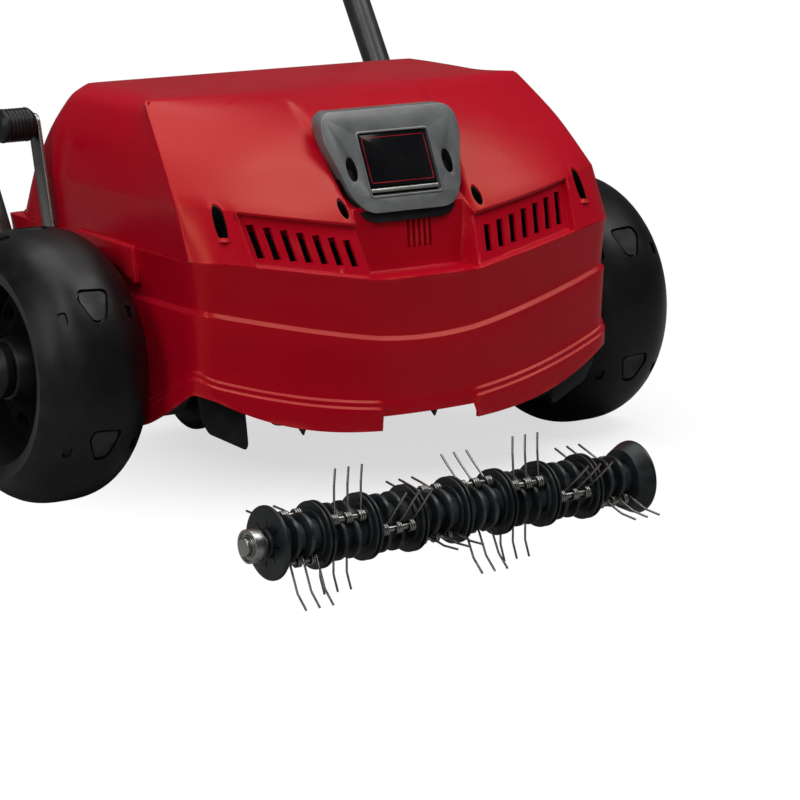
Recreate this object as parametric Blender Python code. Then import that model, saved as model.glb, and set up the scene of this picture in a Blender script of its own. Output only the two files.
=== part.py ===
"""Electric lawn scarifier with its spare aerator roller lying in front of it.

Metres, +Z up. X runs across the machine (+X is on the right of someone who stands in
front of it and looks at it), the front faces -Y. Sizes that can be set by themselves are
the named values below; everything else follows from them.
"""
import math

import bmesh
import bpy
from mathutils import Matrix, Vector

for old in list(bpy.data.objects):
    bpy.data.objects.remove(old, do_unlink=True)

# Clearances
FIT = 0.0003
RUNNING_GAP = 0.0006
SWING_GAP = 0.003

# Wheels and ground
WHEEL_RADIUS = 0.100
WHEEL_WIDTH = 0.088
WHEEL_SHOULDER = 0.022
TREAD_POINTS = 7
REAR_WHEEL_RADIUS = 0.040
REAR_WHEEL_WIDTH = 0.026
AXLE_RADIUS = 0.006
REAR_AXLE_RADIUS = 0.004

# Housing
SIDE_HALF = 0.184
CORNER_X = SIDE_HALF - 0.012
CORNER_REACH = SIDE_HALF + 0.006
FRONT_REACH = 0.155
FRONT_BOW = 0.021
REAR_Y = 0.150
WALL = 0.0035
DECK_TOP_Z = 0.168
CREASE_MID_Z = 0.163
CREASE_END_Z = 0.192
SKIRT_Z = 0.054
SKIRT_CORNER_Z = 0.097
SKIRT_HEIGHT = 0.009
SKIRT_STEP = 0.004
NOTCH_HALF = 0.042
NOTCH_DEPTH = 0.010
LEDGE_DEPTH = 0.015
RECESS_HALF = 0.055
HOOD_TOP_Z = 0.290
HOOD_WALL = 0.003
LIP_Y = -0.127
LIP_Z = 0.205
LIP_END_Z = 0.219
LIP_SWEEP = 0.015
SHOULDER_Y = -0.083
SHOULDER_Z = 0.262
BROW_Y = -0.052
BROW_DROP = 0.005
RIM_Y = -0.034

# Name plate surround
TRIM_SLOPE = 0.473
TRIM_LOW_Z = 0.209
TRIM_HIGH_Z = 0.280
TRIM_FACE_Y = -0.1285
TRIM_THICK = 0.012
TRIM_LOW_HALF = 0.038
TRIM_HIGH_HALF = 0.060
PLATE_HALF = 0.030
PLATE_HEIGHT = 0.042
PLATE_THICK = 0.0015
PLATE_LOW_Z = 0.221

# Blade roller
ROLLER_Y = -0.050
ROLLER_Z = 0.093
ROLLER_SHAFT_RADIUS = 0.0125
BLADE_REACH = 0.061
BLADE_THICK = 0.0025
BLADE_TILT = math.radians(20)
BLADE_UNITS = 5
BLADE_PITCH = (SIDE_HALF - 0.034) * 0.4
BLADE_HUB_RADIUS = 0.018
BLADE_HUB_WIDTH = 0.024
ROLLER_DISC_RADIUS = 0.043
ROLLER_DISC_WIDTH = 0.005
BEARING_RADIUS = 0.020
BEARING_WIDTH = 0.010
BEARING_SEAT = 0.013

# Drive
MOTOR_Y = 0.040
MOTOR_RADIUS = 0.042
MOTOR_LENGTH = 0.120
MOTOR_X = 0.010
MOTOR_SHAFT_RADIUS = 0.005
FAN_RADIUS = 0.036
FAN_VANES = 6
PINION_RADIUS = 0.011
PULLEY_RADIUS = 0.026
BELT_WIDTH = 0.012
BELT_THICK = 0.003
FLANGE_WIDTH = 0.0015
COVER_THICK = 0.003

# Depth setting
CRANK_PIVOT_Y = 0.062
CRANK_PIVOT_Z = 0.148
CRANK_PLATE = 0.004
LEVER_TOP_Z = 0.262
LEVER_LEAN = 0.030

# Rear end
MOUTH_HALF = 0.140
MOUTH_LOW_Z = 0.072
MOUTH_HIGH_Z = 0.145
FLAP_HINGE_Z = 0.160
FLAP_THICK = 0.003
FLAP_LENGTH = 0.095
FLAP_ROD_RADIUS = 0.003
REAR_AXLE_Y = 0.196
LUG_THICK = 0.008

# Handle
TUBE_RADIUS = 0.011
TUBE_WALL = 0.0015
TUBE_FOOT = 0.014
HANDLE_LEAN = math.radians(58)
HANDLE_FOOT_Y = 0.128
HANDLE_FOOT_Z = 0.150
LOWER_TUBE_LENGTH = 0.500
UPPER_TUBE_LENGTH = 0.450
FOLD_OFFSET = 0.030
BOW_CORNER = 0.060
BOW_FOOT = 0.020
BOLT_RADIUS = 0.003
KNOB_RADIUS = 0.016
GRIP_RADIUS = 0.0155
BAIL_RADIUS = 0.004
BAIL_STANDOFF = 0.060
BAIL_REACH = 0.085
SWITCH_BOX = (0.092, 0.052, 0.060)
SWITCH_X = 0.050
BUTTON_RADIUS = 0.009
BUTTON_TRAVEL = 0.005

# Aerator roller
AERATOR_CENTRE = (-0.1160, -0.3425)
AERATOR_YAW = math.radians(1.8)
AERATOR_GROUPS = 8
AERATOR_PITCH = 0.0370
AERATOR_CORE_RADIUS = 0.011
DIVIDER_RADIUS = 0.0225
DIVIDER_WIDTH = 0.0045
RIB_RADIUS = 0.018
RIB_WIDTH = 0.0035
AERATOR_SHAFT_RADIUS = 0.006
AERATOR_BEARING_RADIUS = 0.0115
END_DISC_RADIUS = 0.0245
END_DISC_WIDTH = 0.0025
CUP_RADIUS = 0.0255
CUP_DEPTH = 0.010
STUB_LENGTH = 0.018
TINE_ROD_RADIUS = 0.002
TINE_ROD_OFFSET = 0.0155
TINE_WIRE_RADIUS = 0.0008
TINE_COIL_GAP = 0.0005
TINE_COIL_PITCH = 0.0026
TINE_COIL_TURNS = 1.0
TINE_COIL_POINTS = 8
TINE_LEG = 0.0330
TINE_BEND = 0.005
# Degrees from straight up towards the front, group by group: the first rod (the second lies opposite),
# and the way in which the spring legs on the first and on the second rod have swung
ROD_ANGLES = (148, 46, 92, 155, 5, 41, 90, 135)
FIRST_LEGS = (155, 0, 41, 100, -54, -5, 50, 108)
SECOND_LEGS = (275, 180, 223, 280, 152, 180, 230, 288)

# The whole layout is moved back or forward so that its bounding box is centred
LAYOUT_SHIFT_Y = -0.1336


def material(name, rgb, roughness, metallic=0.0):
    mat = bpy.data.materials.new(name)
    mat.use_nodes = True
    shader = mat.node_tree.nodes["Principled BSDF"]
    shader.inputs["Base Color"].default_value = (*rgb, 1.0)
    shader.inputs["Roughness"].default_value = roughness
    shader.inputs["Metallic"].default_value = metallic
    mat.diffuse_color = (*rgb, 1.0)
    return mat


RED = material("red_plastic", (0.42, 0.003, 0.012), 0.30)
BLACK = material("black_plastic", (0.012, 0.012, 0.013), 0.38)
GREY = material("trim_plastic", (0.035, 0.042, 0.048), 0.25)
SLATE = material("slate_plastic", (0.018, 0.024, 0.028), 0.45)
PLATE = material("plate_gloss", (0.004, 0.004, 0.004), 0.12)
STEEL = material("bright_steel", (0.62, 0.62, 0.61), 0.28, 1.0)
BLADE = material("blade_steel", (0.55, 0.54, 0.52), 0.36, 1.0)
TUBE = material("tube_paint", (0.015, 0.015, 0.016), 0.42)
RUBBER = material("belt_rubber", (0.010, 0.010, 0.010), 0.80)
CAN = material("motor_can", (0.35, 0.36, 0.37), 0.45, 1.0)
FOAM = material("grip_foam", (0.014, 0.014, 0.014), 0.90)
SIGNAL = material("signal_red", (0.45, 0.010, 0.010), 0.40)


def finish(name, bm, mat, parent=None, guide=False):
    """Turns a bmesh into an object; a guide only cuts or joins and isn't part of the build."""
    bmesh.ops.remove_doubles(bm, verts=bm.verts, dist=1e-7)
    bmesh.ops.recalc_face_normals(bm, faces=bm.faces)
    mesh = bpy.data.meshes.new(name)
    bm.to_mesh(mesh)
    bm.free()
    obj = bpy.data.objects.new(name, mesh)
    bpy.context.collection.objects.link(obj)
    obj.parent = parent
    if mat:
        mesh.materials.append(mat)
    if guide:
        obj.hide_render = True
        obj.display_type = 'WIRE'
    return obj


def empty(name, location, rotation=(0.0, 0.0, 0.0), parent=None):
    obj = bpy.data.objects.new(name, None)
    obj.location = location
    obj.rotation_euler = rotation
    obj.parent = parent
    bpy.context.collection.objects.link(obj)
    return obj


def smooth(obj, angle=35):
    obj.data.shade_smooth()
    obj.data.set_sharp_from_angle(angle=math.radians(angle))
    return obj


def boolean(target, tool, operation):
    mod = target.modifiers.new(operation.lower() + "_" + tool.name, 'BOOLEAN')
    mod.object = tool
    mod.operation = operation
    return target


def ring_skin(bm, rings, close_first=False, close_last=False, loop=False):
    """Skins closed loops of points, one after the other."""
    rows = [[bm.verts.new(point) for point in ring] for ring in rings]
    count = len(rows[0])
    pairs = list(zip(rows[:-1], rows[1:]))
    if loop:
        pairs.append((rows[-1], rows[0]))
    for low, high in pairs:
        for i in range(count):
            j = (i + 1) % count
            bm.faces.new((low[i], low[j], high[j], high[i]))
    if close_first:
        bm.faces.new(list(reversed(rows[0])))
    if close_last:
        bm.faces.new(rows[-1])


def add_turned(bm, profile, segments, centre=(0.0, 0.0, 0.0)):
    """Turns a closed (x, radius) outline round an axis along X."""
    base = Vector(centre)
    verts = [bm.verts.new(base + Vector((x, 0.0, r))) for x, r in profile]
    edges = [bm.edges.new((verts[i], verts[(i + 1) % len(verts)])) for i in range(len(verts))
             if profile[i][1] > 0 or profile[(i + 1) % len(verts)][1] > 0]
    bmesh.ops.spin(bm, geom=verts + edges, cent=base, axis=(1.0, 0.0, 0.0), angle=2 * math.pi,
                   steps=segments, use_merge=True)
    bmesh.ops.remove_doubles(bm, verts=bm.verts, dist=1e-7)


def turned(name, profile, segments, mat, centre=(0.0, 0.0, 0.0), parent=None, guide=False):
    bm = bmesh.new()
    add_turned(bm, profile, segments)
    obj = finish(name, bm, mat, parent, guide)
    obj.location = centre
    if not guide:
        smooth(obj)
    return obj


def bore(radius, gap, segments):
    """Radius of a faceted hole whose flats clear a round piece by the gap."""
    return (radius + gap) / math.cos(math.pi / segments)


def rod_profile(x0, x1, radius, bevel=0.0):
    if bevel:
        return [(x0, 0.0), (x0, radius - bevel), (x0 + bevel, radius), (x1 - bevel, radius),
                (x1, radius - bevel), (x1, 0.0)]
    return [(x0, 0.0), (x0, radius), (x1, radius), (x1, 0.0)]


def ring_profile(x0, x1, bore, radius):
    return [(x0, bore), (x0, radius), (x1, radius), (x1, bore)]


def add_prism(bm, outline, to_point, depth):
    """Pushes a flat outline along `depth`; to_point maps (u, v) into space."""
    base = [to_point(u, v) for u, v in outline]
    top = [point + depth for point in base]
    ring_skin(bm, [base, top], close_first=True, close_last=True)


def add_box(bm, low, high):
    low, high = Vector(low), Vector(high)
    outline = [(low.x, low.y), (high.x, low.y), (high.x, high.y), (low.x, high.y)]
    add_prism(bm, outline, lambda u, v: Vector((u, v, low.z)), Vector((0.0, 0.0, high.z - low.z)))


def box(name, low, high, mat=None, parent=None, guide=False):
    bm = bmesh.new()
    add_box(bm, low, high)
    return finish(name, bm, mat, parent, guide)


def sweep_rings(points, radius, sides):
    """Rings of points round a path, kept from twisting."""
    points = [Vector(point) for point in points]
    tangents = []
    for i in range(len(points)):
        before = points[max(i - 1, 0)]
        after = points[min(i + 1, len(points) - 1)]
        tangents.append((after - before).normalized())
    side = tangents[0].orthogonal().normalized()
    rings = []
    for point, tangent in zip(points, tangents):
        side = (side - tangent * side.dot(tangent)).normalized()
        other = tangent.cross(side)
        rings.append([point + (side * math.cos(a) + other * math.sin(a)) * radius
                      for a in (2 * math.pi * k / sides for k in range(sides))])
    return rings


def add_wire(bm, points, radius, sides):
    """Sweeps a solid round wire along points."""
    ring_skin(bm, sweep_rings(points, radius, sides), close_first=True, close_last=True)


def add_tube(bm, points, radius, wall, sides):
    """Sweeps a hollow tube along points, open at both ends."""
    outer = sweep_rings(points, radius, sides)
    inner = sweep_rings(points, radius - wall, sides)
    ring_skin(bm, outer + list(reversed(inner)), loop=True)


def rounded_path(corners, radius, steps=5):
    """Replaces the inner corners of a path by arcs."""
    corners = [Vector(corner) for corner in corners]
    path = [corners[0]]
    for before, corner, after in zip(corners[:-2], corners[1:-1], corners[2:]):
        into = (corner - before).normalized()
        out = (after - corner).normalized()
        turn = into.angle(out)
        reach = radius * math.tan(turn / 2)
        start = corner - into * reach
        centre = corner + (out - into).normalized() * radius / math.cos(turn / 2)
        spoke = start - centre
        axis = into.cross(out).normalized()
        path += [centre + Matrix.Rotation(turn * k / steps, 3, axis) @ spoke for k in range(steps + 1)]
    path.append(corners[-1])
    return path


# Housing surfaces

def bow(x, forward=0.0):
    """Front face in plan: furthest forward on the centre line."""
    return -(FRONT_REACH + forward) + FRONT_BOW * (x / CORNER_X) ** 2


def crease_z(x):
    return CREASE_MID_Z + (CREASE_END_Z - CREASE_MID_Z) * min(x / CORNER_X, 1.0)


def skirt_z(x):
    low = SKIRT_Z + (SKIRT_CORNER_Z - SKIRT_Z) * (x / SIDE_HALF) ** 3
    return low + (NOTCH_DEPTH if x < NOTCH_HALF else 0.0)


def ridge_z(x):
    return SKIRT_Z + SKIRT_HEIGHT + 0.004 + (SKIRT_CORNER_Z - SKIRT_Z - 0.008) * (x / SIDE_HALF) ** 2


def fascia_z(x):
    return CREASE_MID_Z - 0.050 + 0.22 * x


def along_side(front_value, rear_value, y):
    """Height along the side wall: from the corner's value to the rear one."""
    start, end = -0.100, -0.040
    share = min(max((y - start) / (end - start), 0.0), 1.0)
    return front_value + (rear_value - front_value) * share


DECK_STATIONS = (0.0, 0.022, NOTCH_HALF - 0.001, NOTCH_HALF + 0.001,
                 *(share * CORNER_X for share in (0.436, 0.610, 0.785, 0.919, 1.0)))
HOOD_STATIONS = tuple(share * CORNER_X for share in (0.465, 0.610, 0.756, 0.872, 1.0))


def full_loop(half):
    """Mirrors half a loop, given from the front centre to the rear centre."""
    return half + [Vector((-p.x, p.y, p.z)) for p in reversed(half[1:-1])]


def deck_loop(forward, height_front, height_rear, inset=0.0):
    half = [Vector((x, bow(x, forward) + inset, height_front(x))) for x in DECK_STATIONS]
    end = height_front(SIDE_HALF)
    corner_y = bow(CORNER_X) + 0.009
    half.append(Vector((SIDE_HALF + 0.001 - inset * 0.8, corner_y - forward * 0.7 + inset * 0.8, end)))
    half.append(Vector((CORNER_REACH - inset, corner_y + 0.013, end)))
    half.append(Vector((SIDE_HALF - inset, corner_y + 0.025 + inset * 0.1, end)))
    for y in (-0.040, 0.040, REAR_Y - 0.016):
        half.append(Vector((SIDE_HALF - inset, y, along_side(end, height_rear, y))))
    half.append(Vector((SIDE_HALF - 0.016 - inset * 0.4, REAR_Y - inset, height_rear)))
    half.append(Vector((0.080, REAR_Y - inset, height_rear)))
    half.append(Vector((0.0, REAR_Y - inset, height_rear)))
    return full_loop(half)


def flat(value):
    return lambda x: value


def deck_shell():
    outer = [
        deck_loop(SKIRT_STEP, skirt_z, SKIRT_Z),
        deck_loop(SKIRT_STEP, lambda x: skirt_z(min(x, SIDE_HALF)) + SKIRT_HEIGHT - (
            NOTCH_DEPTH / 2 if x < NOTCH_HALF else 0.0), SKIRT_Z + SKIRT_HEIGHT),
        deck_loop(0.0, lambda x: ridge_z(x) + 0.003, SKIRT_Z + SKIRT_HEIGHT + 0.006),
        deck_loop(0.002, fascia_z, fascia_z(SIDE_HALF)),
        deck_loop(0.0, crease_z, CREASE_END_Z),
        deck_loop(0.0, crease_z, CREASE_END_Z, inset=LEDGE_DEPTH),
        deck_loop(0.0, flat(DECK_TOP_Z), DECK_TOP_Z, inset=LEDGE_DEPTH + 0.002),
    ]
    inner = [
        deck_loop(0.0, flat(DECK_TOP_Z - WALL), DECK_TOP_Z - WALL, inset=LEDGE_DEPTH + 0.006),
        deck_loop(0.0, lambda x: min(crease_z(x), DECK_TOP_Z) - 0.010, DECK_TOP_Z - 0.010,
                  inset=WALL + 0.001),
        deck_loop(0.0, fascia_z, fascia_z(SIDE_HALF), inset=WALL),
        deck_loop(0.0, skirt_z, SKIRT_Z, inset=WALL),
    ]
    bm = bmesh.new()
    rows = [[bm.verts.new(point) for point in ring] for ring in outer + inner]
    count = len(rows[0])
    top = len(outer) - 1
    for low, (a, b) in enumerate(zip(rows, rows[1:] + rows[:1])):
        if low == top:
            continue
        for i in range(count):
            j = (i + 1) % count
            bm.faces.new((a[i], a[j], b[j], b[i]))
    bm.faces.new(rows[top])
    bm.faces.new(list(reversed(rows[top + 1])))
    bmesh.ops.triangulate(bm, faces=bm.faces)
    return bm


def trim_face_y(z):
    return TRIM_FACE_Y + TRIM_SLOPE * (z - TRIM_LOW_Z)


def recess_y(z):
    """Middle panel of the hood, just behind the name plate surround."""
    return trim_face_y(z) + TRIM_THICK + FIT


class HoodLevel:
    """One ring of the hood: its front, its heights and its half widths."""

    def __init__(self, recess, lobe_y, height, side_z, side_x, rear_y, bump, middle=None):
        self.recess = recess
        self.lobe_y = lobe_y
        self.height = height
        self.side_z = side_z
        self.side_x = side_x
        self.rear_y = rear_y
        self.bump = bump
        self.middle = middle

    def loop(self, inset=0.0, drop=0.0):
        half = []
        for x in (0.0, 0.030, self.recess - 0.002, self.recess + 0.002, *HOOD_STATIONS):
            if self.middle and x < self.recess:
                y, z = self.middle(x)
            else:
                y, z = self.lobe_y(x), self.height(x)
            half.append(Vector((x, y + inset, z - drop)))
        corner_y = self.lobe_y(CORNER_X)
        end = self.height(CORNER_X)
        half.append(Vector((self.side_x + self.bump * 0.2 - inset * 0.8, corner_y + 0.009 + inset * 0.8,
                            end - drop)))
        half.append(Vector((self.side_x + self.bump - inset, corner_y + 0.022, end - drop)))
        start_y, end_y = corner_y + 0.036, self.rear_y - 0.018
        for share in (0.0, 0.35, 1.0):
            y = start_y + (end_y - start_y) * share
            half.append(Vector((self.side_x - inset, y, along_side(end, self.side_z, y) - drop)))
        half.append(Vector((self.side_x - 0.018 - inset * 0.4, self.rear_y - inset, self.side_z - drop)))
        half.append(Vector((0.080, self.rear_y - inset, self.side_z - drop)))
        half.append(Vector((0.0, self.rear_y - inset, self.side_z - drop)))
        return full_loop(half)


def base_middle(x):
    z = max(DECK_TOP_Z, crease_z(x)) + FIT
    return recess_y(z), z


def vent_ledge(x):
    return max(0.0005, 0.010 * (1.0 - (x / 0.150) ** 2))


HOOD_LEVELS = (
    HoodLevel(RECESS_HALF, lambda x: bow(x) + vent_ledge(x), lambda x: crease_z(x) + FIT, CREASE_END_Z + FIT,
              SIDE_HALF - 0.001, REAR_Y - 0.012, 0.005, base_middle),
    HoodLevel(RECESS_HALF + 0.003, lambda x: LIP_Y + LIP_SWEEP * (x / CORNER_X) ** 2,
              lambda x: LIP_Z + (LIP_END_Z - LIP_Z) * x / CORNER_X, LIP_END_Z, SIDE_HALF - 0.0015,
              REAR_Y - 0.013, 0.003, lambda x: (recess_y(LIP_Z), LIP_Z)),
    HoodLevel(TRIM_HIGH_HALF + 0.005, lambda x: SHOULDER_Y, flat(SHOULDER_Z), SHOULDER_Z,
              SIDE_HALF - 0.007, REAR_Y - 0.032, 0.001, lambda x: (recess_y(SHOULDER_Z), SHOULDER_Z)),
    HoodLevel(TRIM_HIGH_HALF + 0.005, lambda x: BROW_Y, flat(HOOD_TOP_Z - BROW_DROP), HOOD_TOP_Z - BROW_DROP,
              SIDE_HALF - 0.021, REAR_Y - 0.055, 0.0),
    HoodLevel(TRIM_HIGH_HALF + 0.005, lambda x: RIM_Y, flat(HOOD_TOP_Z), HOOD_TOP_Z,
              SIDE_HALF - 0.038, REAR_Y - 0.072, 0.0),
)


def hood_shell():
    outer = [level.loop() for level in HOOD_LEVELS]
    inner = [level.loop(HOOD_WALL, HOOD_WALL) for level in reversed(HOOD_LEVELS[1:])]
    inner.append(HOOD_LEVELS[0].loop(HOOD_WALL))
    bm = bmesh.new()
    rows = [[bm.verts.new(point) for point in ring] for ring in outer + inner]
    count = len(rows[0])
    top = len(outer) - 1
    for low, (a, b) in enumerate(zip(rows, rows[1:] + rows[:1])):
        if low == top:
            continue
        for i in range(count):
            j = (i + 1) % count
            bm.faces.new((a[i], a[j], b[j], b[i]))
    bm.faces.new(rows[top])
    bm.faces.new(list(reversed(rows[top + 1])))
    bmesh.ops.triangulate(bm, faces=bm.faces)
    return bm


def lean_prism(bm, outline, front, back):
    """A slab that leans with the name plate surround; front and back are depths behind its face."""
    add_prism(bm, outline, lambda u, v: Vector((u, trim_face_y(v) + front, v)),
              Vector((0.0, back - front, 0.0)))


def rectangle(x0, x1, z0, z1):
    return [(x0, z0), (x1, z0), (x1, z1), (x0, z1)]


# The machine, built round the front axle's place over the floor

layout = empty("layout", (0.0, LAYOUT_SHIFT_Y, 0.0))

WHEEL_X = SIDE_HALF + SWING_GAP + CRANK_PLATE + 0.0015
AXLE_Z = WHEEL_RADIUS
BELT_X = -(SIDE_HALF - WALL - 0.0165)
COVER_X = BELT_X + BELT_WIDTH / 2 + 0.0060
REAR_AXLE_Z = REAR_WHEEL_RADIUS
FLAP_HINGE_Y = REAR_Y + 0.008
LUG_X = MOUTH_HALF + SWING_GAP
MOTOR_Z = DECK_TOP_Z + 0.004 + MOTOR_RADIUS


def build_deck():
    deck = finish("deck_housing", deck_shell(), RED, layout)
    bm = bmesh.new()
    for side in (-1, 1):
        x0 = side * LUG_X
        x1 = side * (LUG_X + LUG_THICK)
        low, high = min(x0, x1), max(x0, x1)
        reach = REAR_AXLE_Y + 0.010
        outline = [(REAR_Y - 0.002, FLAP_HINGE_Z + 0.010), (FLAP_HINGE_Y + 0.007, FLAP_HINGE_Z + 0.010),
                   (FLAP_HINGE_Y + 0.009, FLAP_HINGE_Z - 0.012), (reach, REAR_AXLE_Z + 0.014),
                   (reach, REAR_AXLE_Z - 0.009), (REAR_AXLE_Y - 0.010, REAR_AXLE_Z - 0.011),
                   (REAR_Y - 0.002, MOUTH_LOW_Z + 0.004)]
        add_prism(bm, outline, lambda u, v: Vector((low, u, v)), Vector((high - low, 0.0, 0.0)))
    boolean(deck, finish("guide_lugs", bm, None, layout, guide=True), 'UNION')
    bm = bmesh.new()
    wall_x = SIDE_HALF - WALL
    seat = ring_profile(wall_x - BEARING_SEAT, wall_x + 0.001, bore(BEARING_RADIUS, FIT, 14),
                        BEARING_RADIUS + 0.006)
    add_turned(bm, seat, 14, (0.0, ROLLER_Y, ROLLER_Z))
    boolean(deck, finish("guide_bearing_seat", bm, None, layout, guide=True), 'UNION')
    mouth = box("guide_mouth", (-MOUTH_HALF, REAR_Y - WALL - 0.004, MOUTH_LOW_Z),
                (MOUTH_HALF, REAR_Y + 0.002, MOUTH_HIGH_Z), None, layout, guide=True)
    boolean(deck, mouth, 'DIFFERENCE')
    low_y, high_y = (ROLLER_Y + (MOTOR_Y - ROLLER_Y) * (z - ROLLER_Z) / (MOTOR_Z - ROLLER_Z)
                     for z in (DECK_TOP_Z - WALL, CREASE_END_Z))
    half = PULLEY_RADIUS + BELT_THICK + SWING_GAP
    slot_half = BELT_WIDTH / 2 + FLANGE_WIDTH + 0.0005
    slot = box("guide_belt_slot", (BELT_X - slot_half, low_y - half, DECK_TOP_Z - WALL - 0.004),
               (BELT_X + slot_half, high_y + half, CREASE_END_Z + 0.002), None, layout, guide=True)
    boolean(deck, slot, 'DIFFERENCE')
    holes = bmesh.new()
    reach = CORNER_REACH + 0.004
    for radius, gap, y, z in ((AXLE_RADIUS, RUNNING_GAP, CRANK_PIVOT_Y, CRANK_PIVOT_Z),
                              (FLAP_ROD_RADIUS, FIT, FLAP_HINGE_Y, FLAP_HINGE_Z),
                              (REAR_AXLE_RADIUS, FIT, REAR_AXLE_Y, REAR_AXLE_Z),
                              (BOLT_RADIUS, FIT, HANDLE_FOOT_Y, HANDLE_FOOT_Z)):
        add_turned(holes, rod_profile(-reach, reach, bore(radius, gap, 10)), 10, (0.0, y, z))
    boolean(deck, finish("guide_deck_holes", holes, None, layout, guide=True), 'DIFFERENCE')
    return deck


VENT_SLOTS = 7
VENT_FIRST_X = RECESS_HALF + 0.012
VENT_LAST_X = CORNER_X - 0.034
VENT_SLOT_WIDTH = 0.0042
GRILLE_SLOTS = 5
GRILLE_X = 0.009
GRILLE_PITCH = 0.0048
GRILLE_SLOT_WIDTH = 0.0022


def build_hood():
    hood = finish("motor_hood", hood_shell(), RED, layout)
    base, line = HOOD_LEVELS[0], HOOD_LEVELS[1]
    bm = bmesh.new()
    for side in (-1, 1):
        for i in range(VENT_SLOTS):
            x = VENT_FIRST_X + (VENT_LAST_X - VENT_FIRST_X) * i / (VENT_SLOTS - 1)
            low = base.height(x) + 0.0065
            high = line.height(x) - 0.0075
            front = base.lobe_y(x) - 0.004
            half = VENT_SLOT_WIDTH / 2
            add_box(bm, (side * x - half, front, low), (side * x + half, line.lobe_y(x) + 0.012, high))
    for i in range(GRILLE_SLOTS):
        x = GRILLE_X + (i - (GRILLE_SLOTS - 1) / 2) * GRILLE_PITCH
        half = GRILLE_SLOT_WIDTH / 2
        add_box(bm, (x - half, recess_y(0.180) - 0.010, 0.182), (x + half, recess_y(0.202) + 0.010, 0.202))
    boolean(hood, finish("guide_vents", bm, None, layout, guide=True), 'DIFFERENCE')
    return hood


def build_trim():
    half = [(0.0, TRIM_LOW_Z), (TRIM_LOW_HALF - 0.007, TRIM_LOW_Z), (TRIM_LOW_HALF, TRIM_LOW_Z + 0.002),
            (TRIM_LOW_HALF + 0.006, TRIM_LOW_Z + 0.0075), (TRIM_LOW_HALF + 0.011, TRIM_LOW_Z + 0.015),
            (TRIM_HIGH_HALF - 0.007, TRIM_LOW_Z + 0.030), (TRIM_HIGH_HALF, TRIM_HIGH_Z - 0.020),
            (TRIM_HIGH_HALF - 0.001, TRIM_HIGH_Z - 0.006), (TRIM_HIGH_HALF - 0.008, TRIM_HIGH_Z),
            (0.0, TRIM_HIGH_Z)]
    outline = half + [(-x, z) for x, z in reversed(half[1:-1])]
    bm = bmesh.new()
    lean_prism(bm, outline, 0.0, TRIM_THICK)
    trim = finish("hood_trim", bm, GREY, layout)
    pocket = bmesh.new()
    x1 = PLATE_HALF + FIT
    depth = PLATE_THICK + 0.0015
    lean_prism(pocket, rectangle(-x1, x1, PLATE_LOW_Z - FIT, PLATE_LOW_Z + PLATE_HEIGHT + FIT), -0.002, depth)
    boolean(trim, finish("guide_plate_pocket", pocket, None, layout, guide=True), 'DIFFERENCE')
    plate = bmesh.new()
    lean_prism(plate, rectangle(-PLATE_HALF, PLATE_HALF, PLATE_LOW_Z, PLATE_LOW_Z + PLATE_HEIGHT),
               depth - FIT - PLATE_THICK, depth - FIT)
    finish("name_plate", plate, PLATE, layout)
    return trim


def build_cover():
    """Inner wall of the belt case; it carries the roller's left bearing."""
    x0 = COVER_X
    x1 = COVER_X + COVER_THICK
    cover = box("belt_cover", (x0, ROLLER_Y - 0.062, SKIRT_Z + 0.012),
                (x1, CRANK_PIVOT_Y + 0.020, DECK_TOP_Z - WALL - FIT), BLACK, layout)
    holes = bmesh.new()
    for radius, gap, y, z in ((BEARING_RADIUS, FIT, ROLLER_Y, ROLLER_Z),
                              (AXLE_RADIUS, RUNNING_GAP, CRANK_PIVOT_Y, CRANK_PIVOT_Z)):
        add_turned(holes, rod_profile(x0 - 0.004, x1 + 0.004, bore(radius, gap, 14)), 14, (0.0, y, z))
    boolean(cover, finish("guide_cover_holes", holes, None, layout, guide=True), 'DIFFERENCE')


def build_flap():
    axis = empty("flap_axis", (0.0, FLAP_HINGE_Y, FLAP_HINGE_Z), parent=layout)
    half = MOUTH_HALF - 0.002
    barrel = FLAP_ROD_RADIUS + FLAP_THICK
    flap = box("rear_flap", (-half, -FLAP_THICK / 2, -FLAP_LENGTH), (half, FLAP_THICK / 2, 0.0), BLACK, axis)
    tube = turned("guide_flap_barrel", rod_profile(-half, half, barrel), 10, None, parent=axis, guide=True)
    bore_profile = rod_profile(-half - 0.002, half + 0.002, bore(FLAP_ROD_RADIUS, RUNNING_GAP, 8))
    hole = turned("guide_flap_bore", bore_profile, 8, None, parent=axis, guide=True)
    boolean(flap, tube, 'UNION')
    boolean(flap, hole, 'DIFFERENCE')
    reach = LUG_X + LUG_THICK + 0.003
    turned("flap_rod", rod_profile(-reach, reach, FLAP_ROD_RADIUS, 0.0005), 10, STEEL,
           (0.0, FLAP_HINGE_Y, FLAP_HINGE_Z), layout)


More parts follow.
